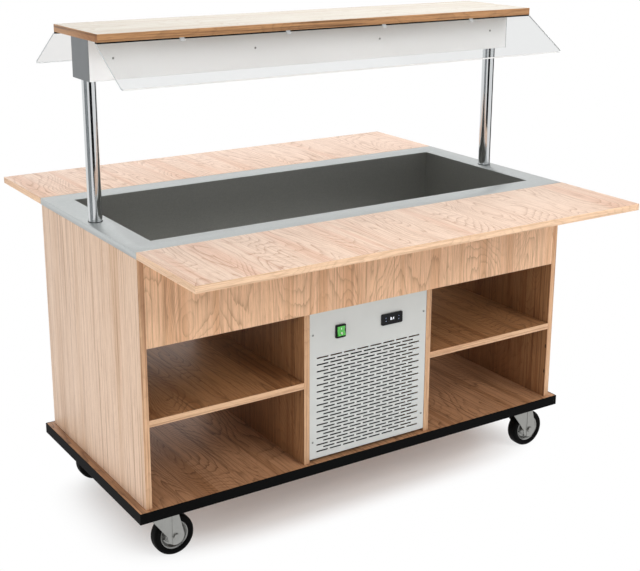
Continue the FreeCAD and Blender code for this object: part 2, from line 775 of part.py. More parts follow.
# ---------------------------------------------------------------- condensing unit
def condenser():
    """Finned core on the base, with a fan shroud, motor and shaft behind it."""
    body = new_body("condenser")
    core = new_sketch(body, "XZ_Plane", "core_face")
    rectangle(core, "-core_wide/2", "0", "core_wide/2", "core_high")
    pad(body, core, "core_t", back=True)
    cowl = new_sketch(body, "XZ_Plane", "cowl_ring")
    rectangle(cowl, "-core_wide/2", "0", "core_wide/2", "core_high")
    circle(cowl, "0", "core_high/2", "hub_dia + 2*blade_len + 6*blade_t")
    pad(body, cowl, "core_t + shroud_deep", back=True)
    motor = new_sketch(body, "XZ_Plane", "motor_barrel")
    circle(motor, "0", "core_high/2", "motor_dia")
    pad(body, motor, "core_t + motor_len", back=True)
    shaft = new_sketch(body, "XZ_Plane", "motor_shaft")
    circle(shaft, "0", "core_high/2", "shaft_dia")
    pad(body, shaft, "core_t + motor_len + shaft_len", back=True)
    place(body, "0", "-%s + core_back" % PANEL_FACE, BASE_TOP)
    return body


def fan():
    """Hub with pitched blades, turning on the motor's shaft."""
    hub = doc.addObject("Part::Cylinder", "fan_hub")
    hub.setExpression("Radius", cells("hub_dia/2"))
    hub.setExpression("Height", cells("hub_len"))
    bore = doc.addObject("Part::Cylinder", "fan_bore")
    bore.setExpression("Radius", cells("shaft_dia/2 + shaft_play"))
    bore.setExpression("Height", cells("hub_len"))
    parts = [hub]
    for number in range(BLADES):
        blade = doc.addObject("Part::Box", "fan_blade_%d" % (number + 1))
        blade.setExpression("Length", cells("blade_len + hub_dia/4"))
        blade.setExpression("Width", cells("blade_wide"))
        blade.setExpression("Height", cells("blade_t"))
        pitch = FreeCAD.Rotation(FreeCAD.Vector(1, 0, 0), SIZES["blade_pitch"])
        spin = FreeCAD.Rotation(FreeCAD.Vector(0, 0, 1), FULL_TURN * number / BLADES)
        middle = FreeCAD.Vector(SIZES["hub_dia"] / 4, -SIZES["blade_wide"] / 2, -SIZES["blade_t"] / 2)
        lift = FreeCAD.Vector(0, 0, SIZES["hub_len"] / 2)
        blade.Placement = FreeCAD.Placement(lift, spin * pitch, FreeCAD.Vector())
        blade.Placement = blade.Placement.multiply(FreeCAD.Placement(middle, FreeCAD.Rotation()))
        parts.append(blade)
    wheel = doc.addObject("Part::MultiFuse", "fan_solid")
    wheel.Shapes = parts
    rotor = doc.addObject("Part::Cut", "fan_rotor")
    rotor.Base = wheel
    rotor.Tool = bore
    rotor.Placement.Rotation = FreeCAD.Rotation(FreeCAD.Vector(1, 0, 0), -90)
    place(rotor, "0", "-%s + core_back + core_t + motor_len + fan_gap" % PANEL_FACE,
          BASE_TOP + " + core_high/2")
    return rotor


def compressor():
    """Hermetic compressor shell on its foot plate."""
    body = new_body("compressor")
    foot = new_sketch(body, "XY_Plane", "compressor_foot")
    centred(foot, "foot_x", "foot_y")
    pad(body, foot, "foot_t")
    half = new_sketch(body, "XZ_Plane", "compressor_half")
    outline(half, [("0", "0"), ("shell_dia/2 - shell_foot", "0"), ("shell_dia/2", "shell_foot"),
                   ("shell_dia/2", "shell_high - shell_round"), ("shell_dia/2 - shell_round", "shell_high"),
                   ("0", "shell_high")])
    turn(body, half)
    place(body, "0", "shell_y", BASE_TOP)
    return body


# ---------------------------------------------------------------- canopy
def posts():
    """Two round tubes that stand on the rim and carry the canopy inside its housing."""
    pieces = []
    for side, sign in SIDES:
        body = new_body("post_" + side)
        ring = new_sketch(body, "XY_Plane", "post_ring_" + side)
        circle(ring, "0", "0", "post_dia")
        circle(ring, "0", "0", "post_dia - 2*post_wall")
        pad(body, ring, "%s - sheet - rim_top" % CANOPY_LOW)
        place(body, "%d*%s" % (sign, POST_X), up="rim_top")
        pieces.append(body)
    return pieces


def light_housing():
    """Folded sheet channel under the canopy board, open below between its lips."""
    body = new_body("light_housing")
    fold = new_sketch(body, "YZ_Plane", "housing_fold")
    half = "(house_dep/2)"
    inner = "(house_dep/2 - sheet)"
    lip = "(house_dep/2 - house_lip)"
    roof = "(house_high - sheet)"
    outline(fold, [("-" + half, "0"), ("-" + half, "house_high"), (half, "house_high"), (half, "0"),
                   (lip, "0"), (lip, "sheet"), (inner, "sheet"), (inner, roof), ("-" + inner, roof),
                   ("-" + inner, "sheet"), ("-" + lip, "sheet"), ("-" + lip, "0")])
    pad(body, fold, HOUSE_LEN + " - 2*sheet", middle=True)
    place(body, up=HOUSE_LOW)
    return body


def canopy():
    """Canopy board, housing with its end caps, lamp strip and diffuser."""
    cap_x = "(%s/2 - sheet/2)" % HOUSE_LEN
    half_light = "(%s - post_dia/2 - diffuser_off)" % POST_X
    caps = [block("housing_cap_" + side, ("sheet", "house_dep", "house_high"), "%d*%s" % (sign, cap_x),
                  low=HOUSE_LOW) for side, sign in SIDES]
    return [
        block("canopy_board", ("cab_len", "canopy_dep", "canopy_t"), low=CANOPY_LOW),
        light_housing(),
        together("housing_caps", caps),
        block("lamp_diffuser", ("2*" + half_light, "house_dep - 2*sheet - 2*diffuser_play", "diffuser_t"),
              low=HOUSE_LOW + " + sheet"),
        block("lamp_strip", ("2*(%s - strip_end)" % half_light, "strip_wide", "strip_high"),
              low=CANOPY_LOW + " - sheet - strip_high"),
    ]


def rails():
    """Two dark strips under the canopy board's edges, where the guards' upper edges sit."""
    pieces = []
    for face, sign in FACES:
        pieces.append(block("glass_rail_" + face, ("cab_len", "rail_dep", "rail_high"), "0",
                            "%d*(%s - rail_dep/2)" % (sign, GUARD_EDGE), GUARD_TOP))
    return together("glass_rails", pieces)


def guard():
    """Slanting pane of the front guard, with its upper edge cut level under the rail."""
    body = new_body("glass_front")
    edge = new_sketch(body, "YZ_Plane", "guard_edge")
    low = "(%s - glass_fall)" % GUARD_TOP
    out = "(%s + glass_reach)" % GUARD_EDGE
    slope = "sqrt(glass_fall^2 + glass_reach^2)"
    outline(edge, [("-" + out, low), ("-" + GUARD_EDGE, GUARD_TOP),
                   ("-%s + glass_t*%s/glass_fall" % (GUARD_EDGE, slope), GUARD_TOP),
                   ("-%s + glass_t*glass_fall/%s" % (out, slope),
                    "%s - glass_t*glass_reach/%s" % (low, slope))])
    pad(body, edge, "cab_len + 2*glass_over", middle=True)
    short = SIZES["glass_t"] * 1.01
    round_edges(body, "glass_round", lambda item: item.Length < short)
    return body


def clip():
    """Small folded clip that holds the guard against its rail."""
    body = new_body("guard_clip")
    fold = new_sketch(body, "YZ_Plane", "clip_fold")
    run = "(glass_reach*(clip_high - rail_high)/glass_fall)"
    outline(fold, [("-" + GUARD_EDGE, "0"), ("-" + GUARD_EDGE, "-rail_high"),
                   ("-%s - %s" % (GUARD_EDGE, run), "-clip_high"),
                   ("-%s - %s - clip_t" % (GUARD_EDGE, run), "-clip_high"),
                   ("-%s - clip_t" % GUARD_EDGE, "-rail_high"), ("-%s - clip_t" % GUARD_EDGE, "0")])
    pad(body, fold, "clip_wide", middle=True)
    return body


def clips():
    """Eight clips, four along each guard."""
    pieces = []
    for number, (sign, share) in enumerate(((-1, 3), (1, 3), (-1, 1), (1, 1)), start=1):
        piece = clip()
        piece.Label = "guard_clip_%d" % number
        place(piece, "%d*(cab_len/2 - clip_in)/%d" % (sign, share), up=CANOPY_LOW)
        pieces.append(piece)
        pieces.append(mirrored("guard_clip_back_%d" % number, piece, FreeCAD.Vector(0, 1, 0)))
    return together("glass_clips", pieces)


# ---------------------------------------------------------------- fold-down boards
def boards():
    """The two side boards, level with the rim."""
    return [block(face + "_board", ("cab_len", "board_dep", "rim_face"), "0",
                  "%d*(cab_dep/2 + board_gap + board_dep/2)" % sign, "rim_top - rim_face")
            for face, sign in FACES]


def bracket_leg():
    """Folded channel on the apron, with the upper and the lower pivot pin across it."""
    body = new_body("bracket_leg")
    cheek = new_sketch(body, "YZ_Plane", "leg_cheek")
    wall = "(%s - %s)" % (PIVOT_Y, APRON_FACE)
    foot = "(-strut_drop - leg_over)"
    outline(cheek, [(wall, foot), (wall, "leg_over"), ("-leg_out/2", "leg_over"), ("-leg_out/2", foot)])
    outer = "(arm_in + 4*iron + 2*arm_play)"
    pad(body, cheek, outer, middle=True)
    inside = new_sketch(body, "XY_Plane", "leg_inside")
    inner = "(arm_in + 2*iron + 2*arm_play)"
    rectangle(inside, "-%s/2" % inner, "-2*leg_out", "%s/2" % inner, wall + " - iron")
    pocket(body, inside, "4*strut_drop", middle=True)
    pins = new_sketch(body, "YZ_Plane", "leg_pins")
    circle(pins, "0", "0", "pin_dia")
    circle(pins, "0", "-strut_drop", "pin_dia")
    pad(body, pins, outer, middle=True)
    place(body, "-" + BRACKET_X, "-" + PIVOT_Y, PIVOT_Z)
    return body


def bracket_arm():
    """Channel under the board, with an eye on the pivot, and a slot and a notch in each wall."""
    body = new_body("bracket_arm")
    side = new_sketch(body, "YZ_Plane", "arm_side")
    outline(side, [("-arm_len", "pivot_drop"), ("-arm_len", "pivot_drop/2"),
                   ("-arm_len + arm_foot", "-arm_foot"), ("0", "-arm_foot"), ("0", "pivot_drop")])
    wide = "(arm_in + 2*iron)"
    pad(body, side, wide, middle=True)
    eye = new_sketch(body, "YZ_Plane", "arm_eye")
    circle(eye, "0", "0", "eye_dia")
    pad(body, eye, wide, middle=True)
    inside = new_sketch(body, "YZ_Plane", "arm_inside")
    rectangle(inside, "-2*arm_len", "-2*eye_dia", "eye_dia", "pivot_drop - iron")
    pocket(body, inside, "arm_in", middle=True)
    slide = new_sketch(body, "YZ_Plane", "arm_slide")
    rectangle(slide, "-arm_len + slide_in", "-slide_high/2", "-slide_start", "slide_high/2")
    rectangle(slide, "-strut_drop - notch_wide/2", "-2*arm_foot",
              "-strut_drop + notch_wide/2", "slide_high/2")
    pocket(body, slide, "2*" + wide, middle=True)
    bore = new_sketch(body, "YZ_Plane", "arm_bore")
    circle(bore, "0", "0", "pin_dia + 2*pin_play")
    pocket(body, bore, "2*" + wide, middle=True)
    place(body, "-" + BRACKET_X, "-" + PIVOT_Y, PIVOT_Z)
    return body


def bracket_strut():
    """Flat strut from the lower pivot up into the arm's channel, drawn along its own length."""
    body = new_body("bracket_strut")
    bar = new_sketch(body, "YZ_Plane", "strut_bar")
    rectangle(bar, "-strut_len", "-strut_wide/2", "0", "strut_wide/2")
    pad(body, bar, "strut_t", middle=True)
    ends = new_sketch(body, "YZ_Plane", "strut_ends")
    circle(ends, "0", "0", "strut_wide")
    circle(ends, "-strut_len", "0", "strut_wide")
    pad(body, ends, "strut_t", middle=True)
    knob = new_sketch(body, "YZ_Plane", "strut_knob")
    circle(knob, "-strut_len", "0", "pin_dia")
    pad(body, knob, "arm_in - 2*arm_play", middle=True)
    collar = new_sketch(body, "YZ_Plane", "strut_collar")
    circle(collar, "0", "0", "strut_wide")
    pad(body, collar, "arm_in", middle=True)
    bore = new_sketch(body, "YZ_Plane", "strut_bore")
    circle(bore, "0", "0", "pin_dia + 2*pin_play")
    pocket(body, bore, "4*arm_in", middle=True)
    rise = math.degrees(math.asin(SIZES["strut_drop"] / SIZES["strut_len"]))
    body.Placement.Rotation = FreeCAD.Rotation(FreeCAD.Vector(1, 0, 0), -rise)
    place(body, "-" + BRACKET_X, "-" + PIVOT_Y, PIVOT_Z + " - strut_drop")
    return body


def brackets():
    """Two folding brackets under each board: legs, arms and struts, a node of two each."""
    nodes = []
    kinds = (("bracket_legs", bracket_leg), ("bracket_arms", bracket_arm), ("struts", bracket_strut))
    for name, maker in kinds:
        left = maker()
        right = mirrored(name + "_right", left, FreeCAD.Vector(1, 0, 0))
        pair = together("front_" + name, [left, right])
        nodes.append(pair)
        nodes.append(mirrored("back_" + name, pair, FreeCAD.Vector(0, 1, 0)))
    return nodes


# ---------------------------------------------------------------- casters
def caster_plate():
    """Top plate with bolt heads, upper ball race and kingpin with its nut."""
    body = new_body("caster_plate")
    flat = new_sketch(body, "XY_Plane", "plate_flat")
    centred(flat, "plate_x", "plate_y")
    pad(body, flat, "plate_t", back=True)
    round_edges(body, "plate_t*2", is_upright)
    heads = new_sketch(body, "XY_Plane", "plate_bolts")
    for across, up in (("-bolt_x/2", "-bolt_y/2"), ("bolt_x/2", "-bolt_y/2"),
                       ("-bolt_x/2", "bolt_y/2"), ("bolt_x/2", "bolt_y/2")):
        circle(heads, across, up, "bolt_dia")
    pad(body, heads, "plate_t + bolt_high", back=True)
    race = new_sketch(body, "XZ_Plane", "plate_race")
    drop = "(plate_t + race_high + race_play + fork_t)"
    outline(race, [("0", "-plate_t/2"), ("race_dia/2", "-plate_t/2"),
                   ("race_dia/2", "-plate_t - race_high/2"),
                   ("race_dia/2 - race_high/2", "-plate_t - race_high"),
                   ("king_dia/2", "-plate_t - race_high"),
                   ("king_dia/2", "-%s - race_play" % drop), ("king_nut/2", "-%s - race_play" % drop),
                   ("king_nut/2", "-%s - king_nut_high" % drop), ("0", "-%s - king_nut_high" % drop)])
    turn(body, race)
    place(body, up=CASTER_HIGH)
    return body


def fork(label):
    """Pressed fork: crown on the kingpin, two joggled legs, and the axle across them."""
    body = new_body(label)
    axle_z = "(wheel_dia/2)"
    wide = "(fork_in + 2*fork_t + 2*fork_step)"
    side = new_sketch(body, "XZ_Plane", label + "_side")
    outline(side, [("-fork_half", FORK_TOP), ("fork_half", FORK_TOP),
                   ("trail + fork_hip_x", axle_z + " + fork_hip_z"),
                   ("trail + fork_end - fork_ease", axle_z + " + fork_end/4"),
                   ("trail", axle_z + " - fork_end/2"),
                   ("trail - fork_waist_x", axle_z + " - fork_waist_z"),
                   ("-fork_half", axle_z + " + fork_slope_z")])
    pad(body, side, wide, middle=True)
    ends = new_sketch(body, "XZ_Plane", label + "_ends")
    circle(ends, "trail", axle_z, "2*fork_end")
    pad(body, ends, wide, middle=True)
    round_edges(body, "fork_bend", is_crown_edge)
    joggle = new_sketch(body, "XY_Plane", label + "_joggle")
    for low, high in (("-" + wide, "-(fork_in/2 + fork_t)"), ("(fork_in/2 + fork_t)", wide)):
        rectangle(joggle, "-2*fork_half", low, "trail - fork_crease", high)
    pocket(body, joggle, "2*" + CASTER_HIGH, middle=True)
    inner = new_sketch(body, "YZ_Plane", label + "_inner")
    rectangle(inner, "-fork_in/2", "-fork_end", "fork_in/2", FORK_TOP + " - fork_t")
    pocket(body, inner, "8*fork_half", middle=True)
    king = new_sketch(body, "XY_Plane", label + "_king")
    circle(king, "0", "0", "king_dia + 2*king_play")
    pocket(body, king, "4*" + CASTER_HIGH, middle=True)
    axle = new_sketch(body, "XZ_Plane", label + "_axle")
    circle(axle, "trail", axle_z, "axle_dia")
    pad(body, axle, wide, middle=True)
    nuts = new_sketch(body, "XZ_Plane", label + "_nuts")
    hexagon(nuts, "trail", axle_z, "axle_nut")
    pad(body, nuts, wide + " + 2*axle_nut_t", middle=True)
    gap = new_sketch(body, "XZ_Plane", label + "_gap")
    hexagon(gap, "trail", axle_z, "(axle_nut + 4*axle_play)")
    circle(gap, "trail", axle_z, "axle_dia")
    pocket(body, gap, "fork_in", middle=True)
    return body


def hexagon(sketch, across, up, wide):
    """A hexagon across flats, with two flats level."""
    reach = "(%s/sqrt(3))" % wide
    outline(sketch, [("%s + %s" % (across, reach), up),
                     ("%s + %s/2" % (across, reach), "%s + %s/2" % (up, wide)),
                     ("%s - %s/2" % (across, reach), "%s + %s/2" % (up, wide)),
                     ("%s - %s" % (across, reach), up),
                     ("%s - %s/2" % (across, reach), "%s - %s/2" % (up, wide)),
                     ("%s + %s/2" % (across, reach), "%s - %s/2" % (up, wide))])


def is_crown_edge(edge):
    """The long outer edges between the crown and the legs."""
    drop = SIZES["plate_t"] + SIZES["race_high"] + SIZES["race_play"]
    top = SIZES["wheel_dia"] + SIZES["caster_head"] - drop
    box = edge.BoundBox
    outside = min(abs(box.YMin), abs(box.YMax)) > SIZES["fork_in"] / 2 + SIZES["fork_t"] - NEAR
    return outside and box.ZMin > top - NEAR and spans(edge) == [True, False, False]


def wheel_rim(label):
    """Pressed steel wheel: hub, dished disc with a step, and the seat of the tyre."""
    body = new_body(label)
    half = new_sketch(body, "XY_Plane", label + "_half")
    hub = "(fork_in/2 - hub_side)"
    seat = "(tyre_edge/2)"
    disc = "(disc_t/2)"
    right = [("axle_dia/2 + axle_play", hub), ("wheel_hub/2", hub), ("wheel_hub/2", disc + " + disc_t/3"),
             ("disc_step", disc), ("disc_flare", seat + " - 2*disc_t/5"), ("rim_dia/2", seat)]
    left = [(radius, "-(%s)" % side) for radius, side in reversed(right)]
    outline(half, right + left)
    turn(body, half)
    return body


def tyre(label):
    """Solid tyre with rounded shoulders, seated on the steel wheel."""
    body = new_body(label)
    half = new_sketch(body, "XY_Plane", label + "_half")
    side = "(tyre_wide/2)"
    seat = "(tyre_edge/2)"
    outline(half, [("rim_dia/2", "-" + seat), ("rim_dia/2 + tyre_side", "-" + side),
                   ("wheel_dia/2", "-" + side), ("wheel_dia/2", side),
                   ("rim_dia/2 + tyre_side", side), ("rim_dia/2", seat)])
    turn(body, half)
    round_edges(body, "tyre_round", is_tread_edge)
    return body


def is_tread_edge(edge):
    return edge.BoundBox.XMax > SIZES["wheel_dia"] / 2 - NEAR and spans(edge) == [True, False, True]


def casters():
    """Four swivel casters, all trailing to the right, with their plates as one node."""
    nodes = []
    plates = []
    for name, side, face in CORNERS:
        along = "%d*(%s/2 - caster_in)" % (side, BASE_LEN)
        across = "%d*(%s/2 - caster_side)" % (face, BASE_DEP)
        plate = caster_plate()
        place(plate, along, across, CASTER_HIGH)
        plates.append(plate)
        piece = fork("caster_fork_" + name)
        place(piece, along, across)
        steel = wheel_rim("wheel_rim_" + name)
        rubber = tyre("tyre_" + name)
        for part in (steel, rubber):
            place(part, along + " + trail", across, "wheel_dia/2")
        nodes.extend([piece, steel, rubber])
    nodes.append(together("caster_plates", plates))
    return nodes


# ---------------------------------------------------------------- assembly
def build():
    build_sheet()
    nodes = base() + carcass()
    nodes.append(top_rim())
    nodes += [well_tank(), insulation(), drain()]
    nodes += [front_panel(), rear_panel(), battens(), screws()]
    nodes += [switch_frame(), rocker(), thermostat()] + keys()
    nodes += [condenser(), fan(), compressor()]
    nodes += posts() + canopy() + [rails()]
    front_guard = guard()
    nodes += [front_guard, mirrored("glass_back", front_guard, FreeCAD.Vector(0, 1, 0)), clips()]
    nodes += boards() + brackets() + casters()
    doc.recompute()
    return nodes


def check(nodes):
    """Stop if any object failed or any node is not a sound solid."""
    for item in doc.Objects:
        assert "Invalid" not in item.State and "Error" not in item.State, item.Label
    for node in nodes:
        assert not node.Shape.isNull() and node.Shape.isValid() and node.Shape.Solids, node.Label


def export(nodes):
    os.makedirs("parts", exist_ok=True)
    for node in nodes:
        node.Shape.exportStep("parts/%s.step" % node.Label)
        print("%-28s %2d solids %9.1f cm3" % (node.Label, len(node.Shape.Solids), node.Shape.Volume / 1000))
    print(len(nodes), "nodes")


parts = build()
check(parts)
export(parts)
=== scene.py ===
import logging
import math
from dataclasses import dataclass
from enum import Enum, IntEnum
from typing import Callable, Iterable, Optional, Sequence

import bmesh
import bpy
from mathutils import Matrix, Vector


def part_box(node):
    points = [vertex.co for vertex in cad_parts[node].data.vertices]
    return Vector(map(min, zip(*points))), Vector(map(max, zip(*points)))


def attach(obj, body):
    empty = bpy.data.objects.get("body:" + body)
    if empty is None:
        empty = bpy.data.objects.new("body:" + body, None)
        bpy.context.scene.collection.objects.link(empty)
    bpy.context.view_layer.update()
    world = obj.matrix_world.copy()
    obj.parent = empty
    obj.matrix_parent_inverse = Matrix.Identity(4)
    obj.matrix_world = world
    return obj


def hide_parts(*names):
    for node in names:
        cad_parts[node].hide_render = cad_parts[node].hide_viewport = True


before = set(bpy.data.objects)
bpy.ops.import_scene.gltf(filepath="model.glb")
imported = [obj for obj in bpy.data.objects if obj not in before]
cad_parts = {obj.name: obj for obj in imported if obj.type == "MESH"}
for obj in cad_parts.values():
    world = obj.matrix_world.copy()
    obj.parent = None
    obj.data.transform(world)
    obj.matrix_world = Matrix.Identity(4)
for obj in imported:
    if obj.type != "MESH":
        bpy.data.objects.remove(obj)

Colour = tuple[float, float, float, float]
Point = tuple[float, float, float]
Outline = Sequence[tuple[float, float]]
Stops = Sequence[tuple[float, str]]
Tones = tuple[str, str, str]
Form = bmesh.types.BMesh
Material = bpy.types.Material
Socket = bpy.types.NodeSocket

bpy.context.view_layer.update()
LOG = logging.getLogger("salad_bar")
MM = 0.001
FULL_TURN = 2 * math.pi
WHITE: Colour = (1.0, 1.0, 1.0, 1.0)
SIDES = (("left", -1), ("right", 1))
FACES = (("front", -1), ("back", 1))
CORNERS = ("front_left", "front_right", "back_left", "back_right")
# Turns Z onto -Y, for forms that are drawn along Z.
Z_ONTO_Y = Matrix.Rotation(math.radians(90), 3, "X")
# A face looks along an axis where its normal has more than this along it.
SQUARELY = 0.5
# Noises of the wood: repeats per metre across and along the fibres, detail, roughness, distortion.
WOOD = {
    "lie": (5.0, 1.7, 1.0, 0.35, 0.5),
    "drift": (60.0, 9.0, 2.0, 0.6, 0.0),
    "fade": (14.0, 5.0, 2.0, 0.6, 0.0),
    "streak": (17.0, 0.5, 3.0, 0.6, 0.0),
    "straight": (150.0, 1.5, 3.0, 0.75, 0.15),
    "fibre": (300.0, 9.0, 4.0, 0.75, 0.0),
    "pores": (950.0, 40.0, 1.0, 0.5, 0.0),
}
# How far one plank's stretch of the wood lies from the next one's, and how its tone steps on.
PLANK_STRIDES = (5.3, 3.1, 7.7)
TONE_STEP = 0.618
# Tones across one fin pitch: near-black fins, and darker gaps between them that are painted shade.
FIN_AND_GAP_SHADE_STOPS = ((0.0, "030303"), (0.35, "050505"), (0.5, "131414"), (0.9, "1a1b1b"), (1.0, "030303"))


class Axis(Enum):
    """One of the frame's three directions."""

    X = 0
    Y = 1
    Z = 2


class Skin(IntEnum):
    """Material slots of a board: its face, the edges that face either way, and its inside, which takes a
    darker copy of the laminate as painted shade.
    """

    FACE = 0
    FIRST_EDGE = 1
    SECOND_EDGE = 2
    INSIDE = 3


def mm(*values: float) -> tuple[float, ...]:
    """Lengths in millimetres, as metres."""
    return tuple(value * MM for value in values)


def drawn_out(grain: Axis, across: float, along: float) -> Point:
    """Repeats per metre of a texture that is drawn out along its grain.

    Args:
        grain: Direction of the grain.
        across: Repeats across it.
        along: Repeats along it.

    Returns:
        Repeats along X, Y and Z.
    """
    repeats = [across, across, across]
    repeats[grain.value] = along
    return (repeats[0], repeats[1], repeats[2])


def tint(code: str) -> Colour:
    """Turn a screen colour into the linear values that shaders take.

    Args:
        code: Six hexadecimal digits, red, green and blue.

    Returns:
        Red, green, blue and an alpha of 1.
    """
    parts = [int(code[start:start + 2], 16) / 255 for start in (0, 2, 4)]
    linear = [part / 12.92 if part <= 0.04045 else ((part + 0.055) / 1.055) ** 2.4 for part in parts]
    return (linear[0], linear[1], linear[2], 1.0)


# ---- finishes
class Graph:
    """A node tree, written as a few short calls."""

    def __init__(self, tree: bpy.types.NodeTree) -> None:
        """Start with an emptied tree."""
        self.tree = tree
        self.tree.nodes.clear()

    def add(self, kind: str) -> bpy.types.Node:
        """Add one node of the given kind."""
        return self.tree.nodes.new(kind)

    def feed(self, node: bpy.types.Node, socket: str | int, value: object) -> None:
        """Link a socket to another node's output, or set it where the value is a plain one.

        Args:
            node: The node to feed.
            socket: Its input, by name or number.
            value: An output's socket or a plain value.
        """
        target = node.inputs[socket]
        if isinstance(value, Socket):
            self.tree.links.new(value, target)
        else:
            target.default_value = value

    def calc(self, kind: str, first: object, second: object = 0.0, third: object = 0.0) -> Socket:
        """One step of arithmetic on numbers or sockets.

        Args:
            kind: The step, named as the math node names it.
            first: First operand.
            second: Second operand.
            third: Third operand.

        Returns:
            The result.
        """
        node = self.add("ShaderNodeMath")
        node.operation = kind
        for index, value in enumerate((first, second, third)):
            self.feed(node, index, value)
        return node.outputs[0]

    def between(self, value: Socket, low: float, high: float) -> Socket:
        """Fit a value from 0 to 1 between two limits."""
        return self.calc("MULTIPLY_ADD", value, high - low, low)

    def looked_at(self) -> Socket:
        """Tell rays that look from rays that gather light.

        Returns:
            1 for the eye's rays, reflections and what a clear pane lets through, and otherwise 0.
        """
        rays = self.add("ShaderNodeLightPath").outputs
        direct = self.calc("MAXIMUM", rays["Is Camera Ray"], rays["Is Transmission Ray"])
        return self.calc("MAXIMUM", direct, rays["Is Glossy Ray"])


class Shader(Graph):
    """A material's graph round a principled surface."""

    def __init__(self, name: str) -> None:
        """Start with the surface alone.

        Args:
            name: The material's name.
        """
        self.material = bpy.data.materials.new(name)
        self.material.use_nodes = True
        super().__init__(self.material.node_tree)
        self.output = self.add("ShaderNodeOutputMaterial")
        self.surface = self.add("ShaderNodeBsdfPrincipled")
        self.feed(self.output, "Surface", self.surface.outputs[0])
        self.where = self.add("ShaderNodeTexCoord")

    def set(self, **values: object) -> None:
        """Set sockets of the principled surface, with spaces written as underscores."""
        for name, value in values.items():
            self.feed(self.surface, name.replace("_", " "), value)

    def spread(self, stretch: Point, shift: object = (0.0, 0.0, 0.0)) -> Socket:
        """Object coordinates, stretched and shifted.

        Args:
            stretch: Repeats per metre along X, Y and Z.
            shift: Added after stretching, as numbers or as a vector's socket.

        Returns:
            The coordinates.
        """
        node = self.add("ShaderNodeMapping")
        self.feed(node, "Vector", self.where.outputs["Object"])
        self.feed(node, "Scale", stretch)
        self.feed(node, "Location", shift)
        return node.outputs[0]

    def split(self, vector: Socket) -> Sequence[Socket]:
        """Take a vector apart.

        Args:
            vector: The vector.

        Returns:
            Its X, Y and Z.
        """
        node = self.add("ShaderNodeSeparateXYZ")
        self.feed(node, 0, vector)
        return node.outputs

    def noise(self, where: Socket, detail: float = 2.0, rough: float = 0.5, warp: float = 0.0) -> Socket:
        """Cloudy noise.

        Args:
            where: Coordinates.
            detail: How many finer layers it has.
            rough: How strong they are.
            warp: How far it is distorted.

        Returns:
            Its value from 0 to 1.
        """
        node = self.add("ShaderNodeTexNoise")
        self.feed(node, "Vector", where)
        for socket, value in (("Scale", 1.0), ("Detail", detail), ("Roughness", rough), ("Distortion", warp)):
            self.feed(node, socket, value)
        return node.outputs[0]

    def cloud(self, repeats: float, detail: float = 2.0, rough: float = 0.5) -> Socket:
        """Noise with the same repeats per metre in every direction."""
        return self.noise(self.spread((repeats, repeats, repeats)), detail, rough)

    def ramp(self, value: Socket, stops: Stops, smooth: bool = False) -> Socket:
        """Colours along a value.

        Args:
            value: A value from 0 to 1.
            stops: Places and their colours.
            smooth: Whether the colours ease in and out.

        Returns:
            The colour.
        """
        node = self.add("ShaderNodeValToRGB")
        node.color_ramp.interpolation = "EASE" if smooth else "LINEAR"
        elements = node.color_ramp.elements
        while len(elements) < len(stops):
            elements.new(0.5)
        for element, (place, code) in zip(elements, stops):
            element.position = place
            element.color = tint(code)
        self.feed(node, "Fac", value)
        return node.outputs[0]

    def blend(self, share: object, first: object, second: object) -> Socket:
        """Mix two colours.

        Args:
            share: Share of the second colour.
            first: First colour.
            second: Second colour.

        Returns:
            The mixed colour.
        """
        node = self.add("ShaderNodeMix")
        node.data_type = "RGBA"
        for socket, value in ((0, share), (6, first), (7, second)):
            self.feed(node, socket, value)
        return node.outputs[2]

    def facing(self, axis: Axis) -> Socket:
        """How squarely the surface looks along an axis of its piece, from 0 to 1."""
        return self.calc("ABSOLUTE", self.split(self.where.outputs["Normal"])[axis.value])

    def relief(self, height: Socket, depth: float, share: float = 0.5) -> None:
        """Raise the surface by a height map.

        Args:
            height: The map, from 0 to 1.
            depth: Its depth in metres.
            share: How strongly it shows.
        """
        node = self.add("ShaderNodeBump")
        for socket, value in (("Height", height), ("Distance", depth), ("Strength", share)):
            self.feed(node, socket, value)
        self.feed(self.surface, "Normal", node.outputs["Normal"])


@dataclass(frozen=True)
class Finish:
    """A kind of surface with its own settings."""

    name: str

    def build(self) -> Material:
        """Make the material.

        Returns:
            The material.
        """
        shader = Shader(self.name)
        self.paint(shader)
        return shader.material

    def paint(self, shader: Shader) -> None:
        """Fill in the material's graph, as each kind of finish does in its own way."""
        raise NotImplementedError


